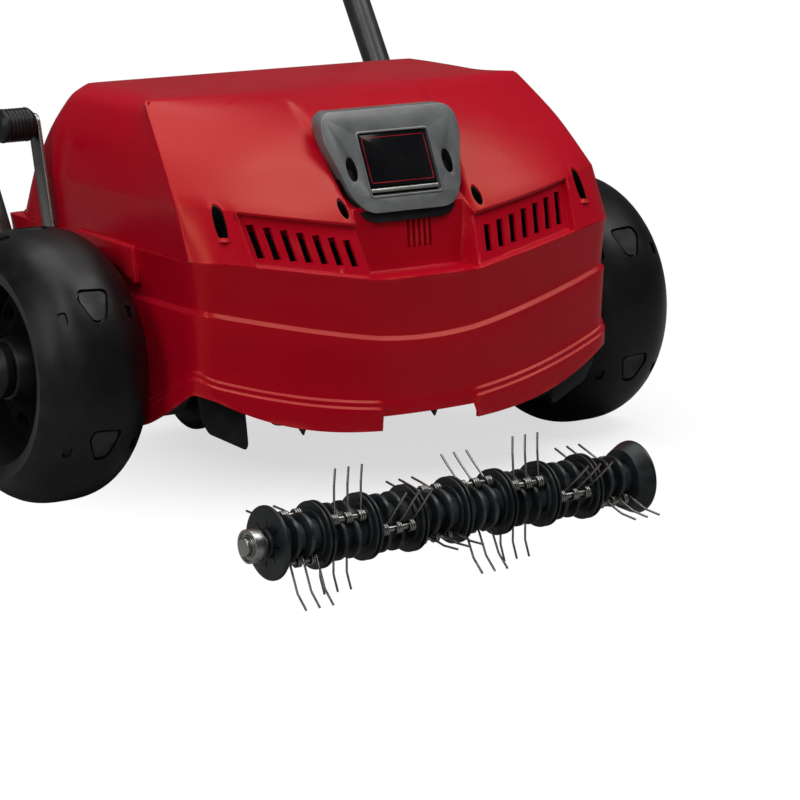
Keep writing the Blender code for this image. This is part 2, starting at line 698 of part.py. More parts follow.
def build_motor():
    axis = empty("motor_axis", (0.0, MOTOR_Y, MOTOR_Z), parent=layout)
    start = MOTOR_X - MOTOR_LENGTH / 2
    end = MOTOR_X + MOTOR_LENGTH / 2
    hole = bore(MOTOR_SHAFT_RADIUS, RUNNING_GAP, 12)
    face = [(0.0, hole), (0.0, 0.016), (0.008, 0.018), (0.010, MOTOR_RADIUS - 0.003), (0.014, MOTOR_RADIUS)]
    profile = [(start + x, radius) for x, radius in face]
    profile += [(end - x, radius) for x, radius in reversed(face)]
    can = turned("motor_can", profile, 12, CAN, parent=axis)
    feet = bmesh.new()
    low = DECK_TOP_Z + FIT - MOTOR_Z
    for x in (start + 0.022, end - 0.034):
        add_box(feet, (x, -0.030, low), (x + 0.012, 0.030, -MOTOR_RADIUS * 0.6))
    boolean(can, finish("guide_motor_feet", feet, None, axis, guide=True), 'UNION')
    r = MOTOR_SHAFT_RADIUS
    pulley = pulley_profile(PINION_RADIUS, r)
    tip = pulley[0][0] - 0.002
    tail = end + 0.026
    turned("motor_shaft", [(tip, 0.0), (tip, r)] + pulley + [(tail, r), (tail, 0.0)], 10, STEEL, parent=axis)
    fan_x = end + 0.006
    hub = bore(r, FIT, 12)
    blank = [(fan_x, hub), (fan_x, FAN_RADIUS), (fan_x + 0.002, FAN_RADIUS), (fan_x + 0.002, 0.012),
             (fan_x + 0.014, 0.010), (fan_x + 0.014, hub)]
    fan = turned("cooling_fan", blank, 12, BLACK, parent=axis)
    vanes = bmesh.new()
    for k in range(FAN_VANES):
        turn = Matrix.Rotation(2 * math.pi / FAN_VANES * k, 3, 'X')
        outline = [(-0.001, 0.011), (0.001, 0.011), (0.001, FAN_RADIUS - 0.001), (-0.001, FAN_RADIUS - 0.001)]
        add_prism(vanes, outline, lambda u, v: Vector((fan_x + 0.001, 0.0, 0.0)) + turn @ Vector((0.0, u, v)),
                  Vector((0.011, 0.0, 0.0)))
    boolean(fan, finish("guide_fan_vanes", vanes, None, axis, guide=True), 'UNION')


def pulley_profile(radius, hole):
    """Outline of a flanged belt pulley round the belt's place, from its left end to its right one."""
    x0 = BELT_X - BELT_WIDTH / 2 - FLANGE_WIDTH
    x1 = BELT_X + BELT_WIDTH / 2 + FLANGE_WIDTH
    rim = radius + BELT_THICK
    return [(x0, hole), (x0, rim), (x0 + FLANGE_WIDTH, rim), (x0 + FLANGE_WIDTH, radius),
            (x1 - FLANGE_WIDTH, radius), (x1 - FLANGE_WIDTH, rim), (x1, rim), (x1, hole)]


def belt_outline(offset):
    """Taut loop round the two pulleys, in (y, z)."""
    low = Vector((ROLLER_Y, ROLLER_Z))
    high = Vector((MOTOR_Y, MOTOR_Z))
    small = PINION_RADIUS + offset
    large = PULLEY_RADIUS + offset
    line = high - low
    heading = math.atan2(line.y, line.x)
    spread = math.acos((large - small) / line.length)
    points = []
    for centre, start, sweep, radius, steps in ((low, spread, 2 * math.pi - 2 * spread, large, 8),
                                                (high, -spread, 2 * spread, small, 5)):
        wide = radius / math.cos(sweep / steps / 2)
        for k in range(steps + 1):
            a = heading + start + sweep * k / steps
            points.append(centre + Vector((math.cos(a), math.sin(a))) * wide)
    return points


def build_belt():
    inner = belt_outline(FIT)
    outer = belt_outline(FIT + BELT_THICK)
    x0 = BELT_X - BELT_WIDTH / 2 + 0.001
    x1 = BELT_X + BELT_WIDTH / 2 - 0.001
    corners = ((outer, x0), (outer, x1), (inner, x1), (inner, x0))
    rings = [[Vector((x, p.x, p.y)) for p in loop] for loop, x in corners]
    bm = bmesh.new()
    ring_skin(bm, rings, loop=True)
    finish("drive_belt", bm, RUBBER, layout)


def blade_outline(reach, waist, lobe):
    """Half turn symmetric plate: two spikes, or two rounded lobes."""
    if lobe:
        arm = [(waist, 0.0), (waist + 0.004, reach * 0.45), (waist + 0.002, reach * 0.80),
               (waist - 0.006, reach * 0.97), (0.0, reach), (-0.010, reach * 0.78), (-waist, reach * 0.35)]
    else:
        arm = [(waist, 0.0), (waist * 0.95, reach * 0.30), (waist * 0.55, reach * 0.62), (0.001, reach),
               (-waist * 0.45, reach * 0.60), (-waist * 0.9, reach * 0.28)]
    return arm + [(-x, -z) for x, z in arm]


def build_roller():
    axis = empty("roller_axis", (0.0, ROLLER_Y, ROLLER_Z), parent=layout)
    r = ROLLER_SHAFT_RADIUS
    end = SIDE_HALF - WALL - 0.0015
    start = BELT_X - BELT_WIDTH / 2 - 0.004
    turned("roller_shaft", rod_profile(start, end, r, 0.0008), 10, STEEL, parent=axis)
    turned("roller_pulley", pulley_profile(PULLEY_RADIUS, bore(r, FIT, 14)), 14, BLACK, parent=axis)
    running = bore(r, RUNNING_GAP, 14)
    left = COVER_X + COVER_THICK / 2 - 0.003
    right = SIDE_HALF - WALL - BEARING_SEAT + 0.001
    for word, x0, width in (("left", left, 0.008), ("right", right, BEARING_WIDTH)):
        turned("roller_bearing_" + word, ring_profile(x0, x0 + width, running, BEARING_RADIUS), 14, STEEL,
               parent=axis)
    disc_x = left + 0.010
    disc = ring_profile(disc_x, disc_x + ROLLER_DISC_WIDTH, bore(r, FIT, 16), ROLLER_DISC_RADIUS)
    turned("roller_end_disc", disc, 16, BLACK, parent=axis)
    for k in range(BLADE_UNITS):
        x = (k - (BLADE_UNITS - 1) / 2) * BLADE_PITCH + 0.006
        build_blade_unit("blade_unit_%d" % (k + 1), x, axis)


def tilted_plate(name, outline, tilt, turn, parent, centre):
    bm = bmesh.new()
    add_prism(bm, outline, lambda u, v: Vector((-BLADE_THICK / 2, u, v)), Vector((BLADE_THICK, 0.0, 0.0)))
    bmesh.ops.rotate(bm, verts=bm.verts, matrix=Matrix.Rotation(tilt, 3, 'Y'))
    bmesh.ops.rotate(bm, verts=bm.verts, matrix=Matrix.Rotation(turn, 3, 'X'))
    plate = finish(name, bm, None, parent, guide=True)
    plate.location = (centre, 0.0, 0.0)
    return plate


def build_blade_unit(name, x, axis):
    half = BLADE_HUB_WIDTH / 2
    unit = turned(name, rod_profile(-half, half, BLADE_HUB_RADIUS), 10, BLADE, (x, 0.0, 0.0), axis)
    spike = blade_outline(BLADE_REACH, BLADE_HUB_RADIUS - 0.001, False)
    lobe = blade_outline(BLADE_REACH * 0.80, BLADE_HUB_RADIUS - 0.001, True)
    boolean(unit, tilted_plate("guide_spikes_" + name, spike, BLADE_TILT, 0.0, axis, x), 'UNION')
    boolean(unit, tilted_plate("guide_lobes_" + name, lobe, -BLADE_TILT, math.pi / 2, axis, x), 'UNION')
    profile = rod_profile(-BLADE_REACH, BLADE_REACH, bore(ROLLER_SHAFT_RADIUS, FIT, 10))
    hole = turned("guide_bore_" + name, profile, 10, None, (x, 0.0, 0.0), axis, guide=True)
    boolean(unit, hole, 'DIFFERENCE')


# Wheels, crank and depth lever

def capsule(a, b, radius, steps=5):
    """Outline of two round ends joined by straight sides, in (y, z)."""
    a, b = Vector(a), Vector(b)
    heading = math.atan2((b - a).y, (b - a).x)
    points = []
    for centre, start in ((b, heading - math.pi / 2), (a, heading + math.pi / 2)):
        for k in range(steps + 1):
            turn = start + math.pi * k / steps
            points.append((centre.x + radius * math.cos(turn), centre.y + radius * math.sin(turn)))
    return points


def build_crank():
    axis = empty("crank_axis", (0.0, CRANK_PIVOT_Y, CRANK_PIVOT_Z), parent=layout)
    arm_in = SIDE_HALF + SWING_GAP
    arm_out = arm_in + CRANK_PLATE
    bar = rod_profile(-arm_out + 0.001, arm_out - 0.001, AXLE_RADIUS)
    crank = turned("axle_crank", bar, 10, STEEL, parent=axis)
    stub = (-CRANK_PIVOT_Y, AXLE_Z - CRANK_PIVOT_Z)
    plates = bmesh.new()
    stubs = bmesh.new()
    for side in (-1, 1):
        low = min(side * arm_in, side * arm_out)
        add_prism(plates, capsule((0.0, 0.0), stub, 0.011), lambda u, v: Vector((low, u, v)),
                  Vector((CRANK_PLATE, 0.0, 0.0)))
        ends = sorted((side * (arm_in + 0.001), side * (WHEEL_X + WHEEL_WIDTH - 0.0125)))
        add_turned(stubs, rod_profile(ends[0], ends[1], AXLE_RADIUS), 10, (0.0, stub[0], stub[1]))
    lever = bmesh.new()
    top = LEVER_TOP_Z - CRANK_PIVOT_Z
    add_prism(lever, capsule((0.0, 0.0), (LEVER_LEAN, top), 0.008),
              lambda u, v: Vector((-arm_out + 0.0005, u, v)), Vector((CRANK_PLATE - 0.001, 0.0, 0.0)))
    boolean(crank, finish("guide_crank_arms", plates, None, axis, guide=True), 'UNION')
    boolean(crank, finish("guide_stub_axles", stubs, None, axis, guide=True), 'UNION')
    boolean(crank, finish("guide_lever", lever, None, axis, guide=True), 'UNION')
    grip = [(FIT, 0.0), (FIT, 0.010), (0.004, 0.013), (0.026, 0.013), (0.030, 0.009), (0.030, 0.0)]
    turned("depth_lever_grip", [(-arm_out - x, radius) for x, radius in grip], 12, BLACK,
           (0.0, LEVER_LEAN, top), axis)


def wheel_profile():
    """Barrel shaped tread with a dished rim on both sides, x from the inner face."""
    tread = []
    for k in range(TREAD_POINTS):
        s = k / (TREAD_POINTS - 1)
        tread.append((WHEEL_WIDTH * s, WHEEL_RADIUS - WHEEL_SHOULDER * abs(2 * s - 1) ** 3))
    w = WHEEL_WIDTH
    hole = bore(AXLE_RADIUS, RUNNING_GAP, 20)
    outer = [(w - 0.004, 0.066), (w - 0.018, 0.060), (w - 0.030, 0.034), (w - 0.026, 0.026),
             (w - 0.012, 0.022), (w - 0.012, hole)]
    inner = [(0.004, hole), (0.004, 0.022), (0.020, 0.026), (0.024, 0.034), (0.018, 0.060), (0.004, 0.066)]
    return tread + outer + inner


def build_wheels():
    crank_y = CRANK_PIVOT_Y
    crank_z = CRANK_PIVOT_Z
    crank_axis = bpy.data.objects["crank_axis"]
    for side, word in ((-1, "left"), (1, "right")):
        hub = empty("wheel_axis_" + word, (0.0, -crank_y, AXLE_Z - crank_z), parent=crank_axis)
        profile = [(side * (WHEEL_X + x), r) for x, r in wheel_profile()]
        turned("wheel_" + word, profile, 20, BLACK, parent=hub)
        x0 = WHEEL_X + WHEEL_WIDTH - 0.012 + FIT
        cap = [(x0, 0.0), (x0, 0.020), (x0 + 0.008, 0.020), (x0 + 0.014, 0.014), (x0 + 0.016, 0.0)]
        turned("hub_cap_" + word, [(side * x, r) for x, r in cap], 10, BLACK, parent=hub)
    rear = empty("rear_axis", (0.0, REAR_AXLE_Y, REAR_AXLE_Z), parent=layout)
    x0 = LUG_X + LUG_THICK + 0.0015
    x1 = x0 + REAR_WHEEL_WIDTH
    axle = rod_profile(-x1 - 0.003, x1 + 0.003, REAR_AXLE_RADIUS, 0.0005)
    turned("rear_axle", axle, 10, STEEL, parent=rear)
    r = REAR_WHEEL_RADIUS
    hole = bore(REAR_AXLE_RADIUS, RUNNING_GAP, 16)
    profile = [(x0, hole), (x0, r - 0.004), (x0 + 0.004, r), (x1 - 0.004, r), (x1, r - 0.004), (x1, hole)]
    for side, word in ((-1, "left"), (1, "right")):
        turned("rear_wheel_" + word, [(side * x, y) for x, y in profile], 16, BLACK, parent=rear)


# Push handle

TUBE_X = SIDE_HALF + FIT + TUBE_RADIUS
BOW_X = TUBE_X - 2 * TUBE_RADIUS - FIT


def build_handle():
    lean = -(math.pi / 2 - HANDLE_LEAN)
    foot = empty("handle_foot", (0.0, HANDLE_FOOT_Y, HANDLE_FOOT_Z), (lean, 0.0, 0.0), layout)
    fold = empty("fold_axis", (0.0, 0.0, LOWER_TUBE_LENGTH - FOLD_OFFSET), parent=foot)
    for side, word in ((-1, "left"), (1, "right")):
        bm = bmesh.new()
        x = side * TUBE_X
        add_tube(bm, [(x, 0.0, -TUBE_FOOT), (x, 0.0, LOWER_TUBE_LENGTH)], TUBE_RADIUS, TUBE_WALL, 10)
        tube = smooth(finish("lower_tube_" + word, bm, TUBE, foot))
        ends = sorted((side * (SIDE_HALF - WALL - 0.004), side * (TUBE_X + TUBE_RADIUS + 0.004)))
        stud = turned("guide_stud_" + word, rod_profile(ends[0], ends[1], BOLT_RADIUS), 8, None, parent=foot,
                      guide=True)
        boolean(tube, stud, 'UNION')
        through = rod_profile(BOW_X - TUBE_RADIUS - 0.002, TUBE_X + TUBE_RADIUS + 0.002,
                              bore(BOLT_RADIUS, FIT, 8))
        hole = turned("guide_clamp_hole_" + word, [(side * a, r) for a, r in through], 8, None, parent=fold,
                      guide=True)
        boolean(tube, hole, 'DIFFERENCE')
        head = BOW_X - TUBE_RADIUS - FIT
        face = TUBE_X + TUBE_RADIUS + FIT
        bolt = [(head - 0.003, 0.0), (head - 0.003, 0.006), (head, 0.006), (head, BOLT_RADIUS),
                (face, BOLT_RADIUS)]
        knob = [(0.0, 0.009), (0.005, 0.009), (0.006, KNOB_RADIUS), (0.016, KNOB_RADIUS),
                (0.018, KNOB_RADIUS - 0.002), (0.018, 0.0)]
        profile = bolt + [(face + x, radius) for x, radius in knob]
        turned("clamp_knob_" + word, [(side * a, r) for a, r in profile], 10, BLACK, parent=fold)
    build_bow(fold)


def build_bow(fold):
    top = UPPER_TUBE_LENGTH
    corners = [(-BOW_X, 0.0, -BOW_FOOT), (-BOW_X, 0.0, top), (BOW_X, 0.0, top), (BOW_X, 0.0, -BOW_FOOT)]
    path = rounded_path(corners, BOW_CORNER, 5)
    bm = bmesh.new()
    add_tube(bm, path, TUBE_RADIUS, TUBE_WALL, 10)
    tube = smooth(finish("upper_bow", bm, TUBE, fold))
    for word in ("left", "right"):
        boolean(tube, bpy.data.objects["guide_clamp_hole_" + word], 'DIFFERENCE')
    pivot_z = top - BAIL_REACH
    bail = empty("bail_axis", (0.0, 0.0, pivot_z), parent=fold)
    seat = bmesh.new()
    for side in (-1, 1):
        profile = rod_profile(BOW_X - TUBE_RADIUS - 0.003, BOW_X - 0.002, bore(BAIL_RADIUS, RUNNING_GAP, 12))
        add_turned(seat, [(side * a, r) for a, r in profile], 12)
    boolean(tube, finish("guide_bail_seats", seat, None, bail, guide=True), 'DIFFERENCE')
    inner = BOW_X - TUBE_RADIUS - 0.012
    pin = BOW_X - TUBE_RADIUS + 0.006
    half = [(inner, -BAIL_STANDOFF, BAIL_REACH), (inner, 0.0, 0.0), (pin, 0.0, 0.0)]
    corners = [(-x, y, z) for x, y, z in reversed(half)] + half
    bm = bmesh.new()
    add_wire(bm, rounded_path(corners, 0.008, 2), BAIL_RADIUS, 6)
    smooth(finish("bail_lever", bm, SIGNAL, bail))
    head = empty("bar_axis", (0.0, 0.0, top), parent=fold)
    sx, sy, sz = SWITCH_BOX
    x0 = SWITCH_X - sx / 2
    x1 = SWITCH_X + sx / 2
    case = box("switch_box", (x0, -sy / 2, -sz / 2), (x1, sy / 2, sz / 2), BLACK, head)
    bevel = case.modifiers.new("round_edges", 'BEVEL')
    bevel.width = 0.006
    bevel.segments = 1
    hole = turned("guide_bar_bore", rod_profile(x0 - 0.004, x1 + 0.004, bore(TUBE_RADIUS, FIT, 12)), 12, None,
                  parent=head, guide=True)
    boolean(case, hole, 'DIFFERENCE')
    well = bore(BUTTON_RADIUS, RUNNING_GAP, 12)
    button_well = turned_z("guide_button_well", [(0.016, well), (sz / 2 + 0.004, well)], 12, None,
                           (SWITCH_X, 0.0, 0.0), head, guide=True)
    boolean(case, button_well, 'DIFFERENCE')
    rest = 0.016 + BUTTON_TRAVEL + RUNNING_GAP
    proud = sz / 2 + BUTTON_TRAVEL + 0.001
    turned_z("safety_button", [(rest, BUTTON_RADIUS), (proud, BUTTON_RADIUS)], 12, SIGNAL,
             (SWITCH_X, 0.0, 0.0), head)
    inlet = [(0.022, 0.013), (0.004, 0.013), (0.004, 0.016), (FIT, 0.016)]
    turned_z("mains_inlet", [(-sz / 2 - z, radius) for z, radius in inlet], 12, BLACK,
             (SWITCH_X, 0.0, 0.0), head)
    grip_end = BOW_X - BOW_CORNER - 0.002
    hole = bore(TUBE_RADIUS, FIT, 14)
    turned("bar_grip", [(-grip_end, hole), (-grip_end, GRIP_RADIUS - 0.002), (-grip_end + 0.002, GRIP_RADIUS),
                        (x0 - 0.004, GRIP_RADIUS), (x0 - 0.002, GRIP_RADIUS - 0.002), (x0 - 0.002, hole)],
           14, FOAM, parent=head)


def turned_z(name, profile, segments, mat, centre, parent, guide=False):
    """Turns a (z, radius) outline, closed at its ends, round an axis along Z."""
    outline = [(profile[0][0], 0.0)] + list(profile) + [(profile[-1][0], 0.0)]
    bm = bmesh.new()
    add_turned(bm, outline, segments)
    bmesh.ops.rotate(bm, verts=bm.verts, matrix=Matrix.Rotation(-math.pi / 2, 3, 'Y'))
    obj = finish(name, bm, mat, parent, guide)
    obj.location = centre
    if not guide:
        smooth(obj)
    return obj


# Aerator roller

def tine_points(x, sense):
    """Wire of one spring tine, in its rod's frame: u runs out from the roller, w across it."""
    centre = TINE_ROD_RADIUS + TINE_COIL_GAP + TINE_WIRE_RADIUS
    count = round(TINE_COIL_TURNS * TINE_COIL_POINTS)
    last = 1.5 * math.pi
    points = []
    for k in range(count + 1):
        turn = last - 2 * math.pi * (count - k) / TINE_COIL_POINTS
        along = x - TINE_COIL_PITCH * (count - k) / TINE_COIL_POINTS
        points.append(Vector((along, centre * math.sin(turn) * sense, centre * math.cos(turn))))
    first = points[0]
    points[0] = Vector((first.x, first.y * 0.25, first.z * 0.25))
    exit_point = points[-1]
    points.append(Vector((x, exit_point.y, TINE_LEG - 2.5 * TINE_BEND)))
    points.append(Vector((x + TINE_BEND * 0.5, exit_point.y + TINE_BEND * 0.4 * sense, TINE_LEG)))
    return points


def coil_gap(points):
    """Least free gap of a tine's wire to itself, past the points next to each other."""
    apart = TINE_COIL_POINTS // 2
    pairs = ((i, j) for i in range(len(points)) for j in range(i + apart, len(points)))
    least = min((points[i] - points[j]).length for i, j in pairs)
    return least - 2 * TINE_WIRE_RADIUS


def tip_drop(rod, leg):
    """How far a tine's tip lies below the roller's axis."""
    tip = tine_points(0.0, 1.0)[-1]
    return -(TINE_ROD_OFFSET * math.cos(rod) + tip.y * math.sin(leg) + tip.z * math.cos(leg))


def build_aerator():
    x, y = AERATOR_CENTRE
    angles = [math.radians(angle) for angle in ROD_ANGLES]
    legs = [(math.radians(a), math.radians(b)) for a, b in zip(FIRST_LEGS, SECOND_LEGS)]
    drops = [tip_drop(rod, a) for rod, (a, b) in zip(angles, legs)]
    drops += [tip_drop(rod + math.pi, b) for rod, (a, b) in zip(angles, legs)]
    height = max(drops) + TINE_WIRE_RADIUS
    axis = empty("aerator_axis", (x, y, height), (0.0, 0.0, AERATOR_YAW), layout)
    length = AERATOR_GROUPS * AERATOR_PITCH
    x0 = -length / 2
    hole = bore(AERATOR_SHAFT_RADIUS, FIT, 12)
    profile = [(x0, hole), (x0, END_DISC_RADIUS), (x0 + END_DISC_WIDTH, END_DISC_RADIUS),
               (x0 + END_DISC_WIDTH, AERATOR_CORE_RADIUS)]
    for group in range(AERATOR_GROUPS):
        start = x0 + group * AERATOR_PITCH
        bay = (AERATOR_PITCH - DIVIDER_WIDTH - 2 * RIB_WIDTH) / 3
        first = start + DIVIDER_WIDTH / 2 + bay
        for rib in (first, first + RIB_WIDTH + bay):
            profile += [(rib, AERATOR_CORE_RADIUS), (rib, RIB_RADIUS), (rib + RIB_WIDTH, RIB_RADIUS),
                        (rib + RIB_WIDTH, AERATOR_CORE_RADIUS)]
        if group < AERATOR_GROUPS - 1:
            wall = start + AERATOR_PITCH - DIVIDER_WIDTH / 2
            profile += [(wall, AERATOR_CORE_RADIUS), (wall, DIVIDER_RADIUS),
                        (wall + DIVIDER_WIDTH, DIVIDER_RADIUS), (wall + DIVIDER_WIDTH, AERATOR_CORE_RADIUS)]
    x1 = x0 + length
    web = x1 - DIVIDER_WIDTH / 2
    profile += [(web, AERATOR_CORE_RADIUS), (web, CUP_RADIUS - 0.004), (x1 + CUP_DEPTH, CUP_RADIUS),
                (x1 + CUP_DEPTH, CUP_RADIUS - 0.003), (x1 + 0.003, CUP_RADIUS - 0.009), (x1 + 0.003, hole)]
    core = turned("aerator_core", profile, 12, SLATE, parent=axis)
    slots = bmesh.new()
    for group, angle in enumerate(angles):
        start = x0 + group * AERATOR_PITCH + DIVIDER_WIDTH / 2 + 0.002
        end = start + AERATOR_PITCH - DIVIDER_WIDTH - 0.004
        half = TINE_ROD_RADIUS + 0.0005
        for turn in (angle, angle + math.pi):
            spin = Matrix.Rotation(turn, 3, 'X')
            outline = [(-half, AERATOR_CORE_RADIUS + 0.0015), (half, AERATOR_CORE_RADIUS + 0.0015),
                       (half, RIB_RADIUS + 0.002), (-half, RIB_RADIUS + 0.002)]
            add_prism(slots, outline, lambda u, v: Vector((start, 0.0, 0.0)) + spin @ Vector((0.0, u, v)),
                      Vector((end - start, 0.0, 0.0)))
    boolean(core, finish("guide_rod_slots", slots, None, axis, guide=True), 'DIFFERENCE')
    r = AERATOR_SHAFT_RADIUS
    tip = x0 - STUB_LENGTH
    shaft = [(tip, 0.0), (tip, r - 0.001), (tip + 0.001, r), (x0 - 0.004, r), (x0 - 0.004, r + 0.003),
             (x0 - FIT, r + 0.003), (x0 - FIT, r), (x1 + 0.008, r), (x1 + 0.008, 0.0)]
    turned("aerator_shaft", shaft, 10, STEEL, parent=axis)
    bearing = ring_profile(tip + 0.003, tip + 0.011, bore(r, FIT, 14), AERATOR_BEARING_RADIUS)
    turned("aerator_bearing", bearing, 14, STEEL, parent=axis)
    for group, angle in enumerate(angles):
        for row, turn, leg in (("a", angle, legs[group][0]), ("b", angle + math.pi, legs[group][1])):
            name = "tine_set_%d%s" % (group + 1, row)
            build_tine_set(name, x0 + group * AERATOR_PITCH, turn, leg - turn, axis)


def build_tine_set(name, start, turn, lean, axis):
    """A rod between two dividers with three spring tines wound round it, swung on it by lean."""
    spin = Matrix.Rotation(turn, 3, 'X')
    seat = Vector((0.0, 0.0, TINE_ROD_OFFSET))
    low = start + DIVIDER_WIDTH / 2 + FIT
    high = start + AERATOR_PITCH - DIVIDER_WIDTH / 2 - FIT
    bay = (AERATOR_PITCH - DIVIDER_WIDTH - 2 * RIB_WIDTH) / 3
    rod = bmesh.new()
    add_turned(rod, rod_profile(low, high, TINE_ROD_RADIUS), 6)
    wires = bmesh.new()
    for k in range(3):
        centre = start + DIVIDER_WIDTH / 2 + bay * (k + 0.5) + RIB_WIDTH * k
        points = tine_points(centre + TINE_COIL_PITCH * TINE_COIL_TURNS / 2, 1.0)
        add_wire(wires, points, TINE_WIRE_RADIUS, 5)
    if name.endswith("1a"):
        print("least gap between the turns of a tine coil: %.2f mm" % (coil_gap(points) * 1000))
    bmesh.ops.rotate(wires, verts=wires.verts, matrix=Matrix.Rotation(lean, 3, 'X'))
    for bm in (rod, wires):
        bmesh.ops.translate(bm, verts=bm.verts, vec=seat)
        bmesh.ops.rotate(bm, verts=bm.verts, matrix=spin)
    target = finish(name, rod, STEEL, axis)
    boolean(target, finish("guide_wires_" + name, wires, None, axis, guide=True), 'UNION')


build_deck()
build_hood()
build_trim()
build_cover()
build_flap()
build_motor()
build_belt()
build_roller()
build_crank()
build_wheels()
build_handle()
build_aerator()
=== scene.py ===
"""Looks of the electric lawn scarifier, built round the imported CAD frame.

Metres, +Z up, the front faces -Y. The layout's own coordinates have the front axle at y = 0, and
piece() shifts each mesh from there to the frame. at() takes its profile points in millimetres.
"""

import math

import bmesh
import bpy
from mathutils import Matrix, Vector
from mathutils.bvhtree import BVHTree


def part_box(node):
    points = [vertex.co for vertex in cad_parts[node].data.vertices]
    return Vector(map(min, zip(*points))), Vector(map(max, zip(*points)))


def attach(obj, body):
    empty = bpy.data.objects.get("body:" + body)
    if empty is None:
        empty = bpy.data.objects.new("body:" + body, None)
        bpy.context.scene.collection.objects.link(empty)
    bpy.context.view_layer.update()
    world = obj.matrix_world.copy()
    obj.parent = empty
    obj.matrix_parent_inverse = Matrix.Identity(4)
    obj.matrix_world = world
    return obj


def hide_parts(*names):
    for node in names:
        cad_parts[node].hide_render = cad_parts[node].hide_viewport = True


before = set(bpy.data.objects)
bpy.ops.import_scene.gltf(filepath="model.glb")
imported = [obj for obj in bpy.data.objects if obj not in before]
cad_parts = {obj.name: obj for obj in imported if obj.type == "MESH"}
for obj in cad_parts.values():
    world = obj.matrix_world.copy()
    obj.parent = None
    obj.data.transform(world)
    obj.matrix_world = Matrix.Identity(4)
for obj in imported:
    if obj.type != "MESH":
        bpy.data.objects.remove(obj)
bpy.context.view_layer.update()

WHEEL_LOW, WHEEL_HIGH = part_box("wheel_left")
AXLE_Y = (WHEEL_LOW.y + WHEEL_HIGH.y) / 2
AXLE_Z = (WHEEL_LOW.z + WHEEL_HIGH.z) / 2
SHIFT = Vector((0.0, AXLE_Y, 0.0))
SIDES = ((-1, "left"), (1, "right"))
MM = 0.001
# Stands a profile's X axis upright
UPRIGHT = Matrix.Rotation(-math.pi / 2, 4, "Y")

# Camera, matched to the photograph
PICTURE_PIXELS = 800
FOCAL_PIXELS = 3290
SENSOR_MM = 36.0
CAMERA_AT = Vector((-1.3443, -2.0694, 0.5825))
CAMERA_LOOK = Vector((0.078, 0.0, 0.035))


# Procedural materials

class Finish:
    """The node tree of one material, with textures in the part's own metres."""

    def __init__(self, name, roughness, metallic=0.0):
        self.mat = bpy.data.materials.new(name)
        self.mat.use_nodes = True
        self.tree = self.mat.node_tree
        self.shader = self.tree.nodes["Principled BSDF"]
        self.level("Metallic", metallic)
        self.level("Roughness", roughness)
        self.place = self.node("TexCoord").outputs["Object"]
        self.normal = None

    def node(self, kind, **values):
        """A new node; a keyword such as From_Min sets its input From Min."""
        node = self.tree.nodes.new("ShaderNode" + kind)
        for name, value in values.items():
            node.inputs[name.replace("_", " ")].default_value = value
        return node

    def link(self, source, target):
        self.tree.links.new(source, target)

    def level(self, name, value):
        self.shader.inputs[name].default_value = value

    def texture(self, kind, output, stretch, **values):
        mapping = self.node("Mapping", Scale=stretch)
        self.link(self.place, mapping.inputs["Vector"])
        node = self.node(kind, **values)
        self.link(mapping.outputs["Vector"], node.inputs["Vector"])
        return node.outputs[output]

    def noise(self, scale, detail=3.0, stretch=(1.0, 1.0, 1.0), distortion=0.0):
        return self.texture("TexNoise", "Fac", stretch, Scale=scale, Detail=detail, Distortion=distortion)

    def cells(self, scale):
        return self.texture("TexVoronoi", "Distance", (1.0, 1.0, 1.0), Scale=scale)

    def edges(self, low=0.50, high=0.58):
        """1 on outer edges and 0 elsewhere."""
        return self.span(self.node("NewGeometry").outputs["Pointiness"], low, high)

    def span(self, value, low, high, to_low=0.0, to_high=1.0):
        node = self.node("MapRange", From_Min=low, From_Max=high, To_Min=to_low, To_Max=to_high)
        self.link(value, node.inputs["Value"])
        return node.outputs["Result"]

    def product(self, a, b):
        node = self.node("Math")
        node.operation = "MULTIPLY"
        self.link(a, node.inputs[0])
        if isinstance(b, float):
            node.inputs[1].default_value = b
        else:
            self.link(b, node.inputs[1])
        return node.outputs[0]

    def mix(self, share, a, b):
        node = self.node("Mix")
        node.data_type = "RGBA"
        self.link(share, node.inputs["Factor"])
        for value, name in ((a, "A"), (b, "B")):
            socket = [s for s in node.inputs if s.name == name and s.type == "RGBA"][0]
            if isinstance(value, tuple):
                socket.default_value = (*value, 1.0)
            else:
                self.link(value, socket)
        return [s for s in node.outputs if s.type == "RGBA"][0]

    def bump(self, height, strength, distance):
        node = self.node("Bump", Strength=strength, Distance=distance)
        self.link(height, node.inputs["Height"])
        if self.normal is not None:
            self.link(self.normal, node.inputs["Normal"])
        self.normal = node.outputs["Normal"]
        self.link(self.normal, self.shader.inputs["Normal"])

    def colour(self, source):
        self.link(source, self.shader.inputs["Base Color"])

    def roughness(self, source):
        self.link(source, self.shader.inputs["Roughness"])


def moulded(name, base, dark, rough, grain=2600.0, grain_depth=0.00002, worn=None, shine=0.5):
    """Moulded plastic: clouds of colour, fine grain, rubbed edges and uneven gloss."""
    f = Finish(name, rough)
    f.level("Specular IOR Level", shine)
    tone = f.mix(f.span(f.noise(14.0, 4.0), 0.35, 0.70), base, dark)
    tone = f.mix(f.span(f.noise(900.0, 2.0), 0.60, 0.75, 0.0, 0.35), tone, dark)
    if worn:
        rub = f.product(f.edges(), f.span(f.noise(70.0, 5.0), 0.40, 0.62, 0.0, 0.7))
        tone = f.mix(rub, tone, worn)
    f.colour(tone)
    f.roughness(f.span(f.noise(38.0, 5.0), 0.30, 0.70, rough - 0.05, rough + 0.07))
    f.bump(f.noise(grain, 2.0), 0.30, grain_depth)
    f.bump(f.noise(26.0, 2.0), 0.12, 0.0006)
    return f.mat


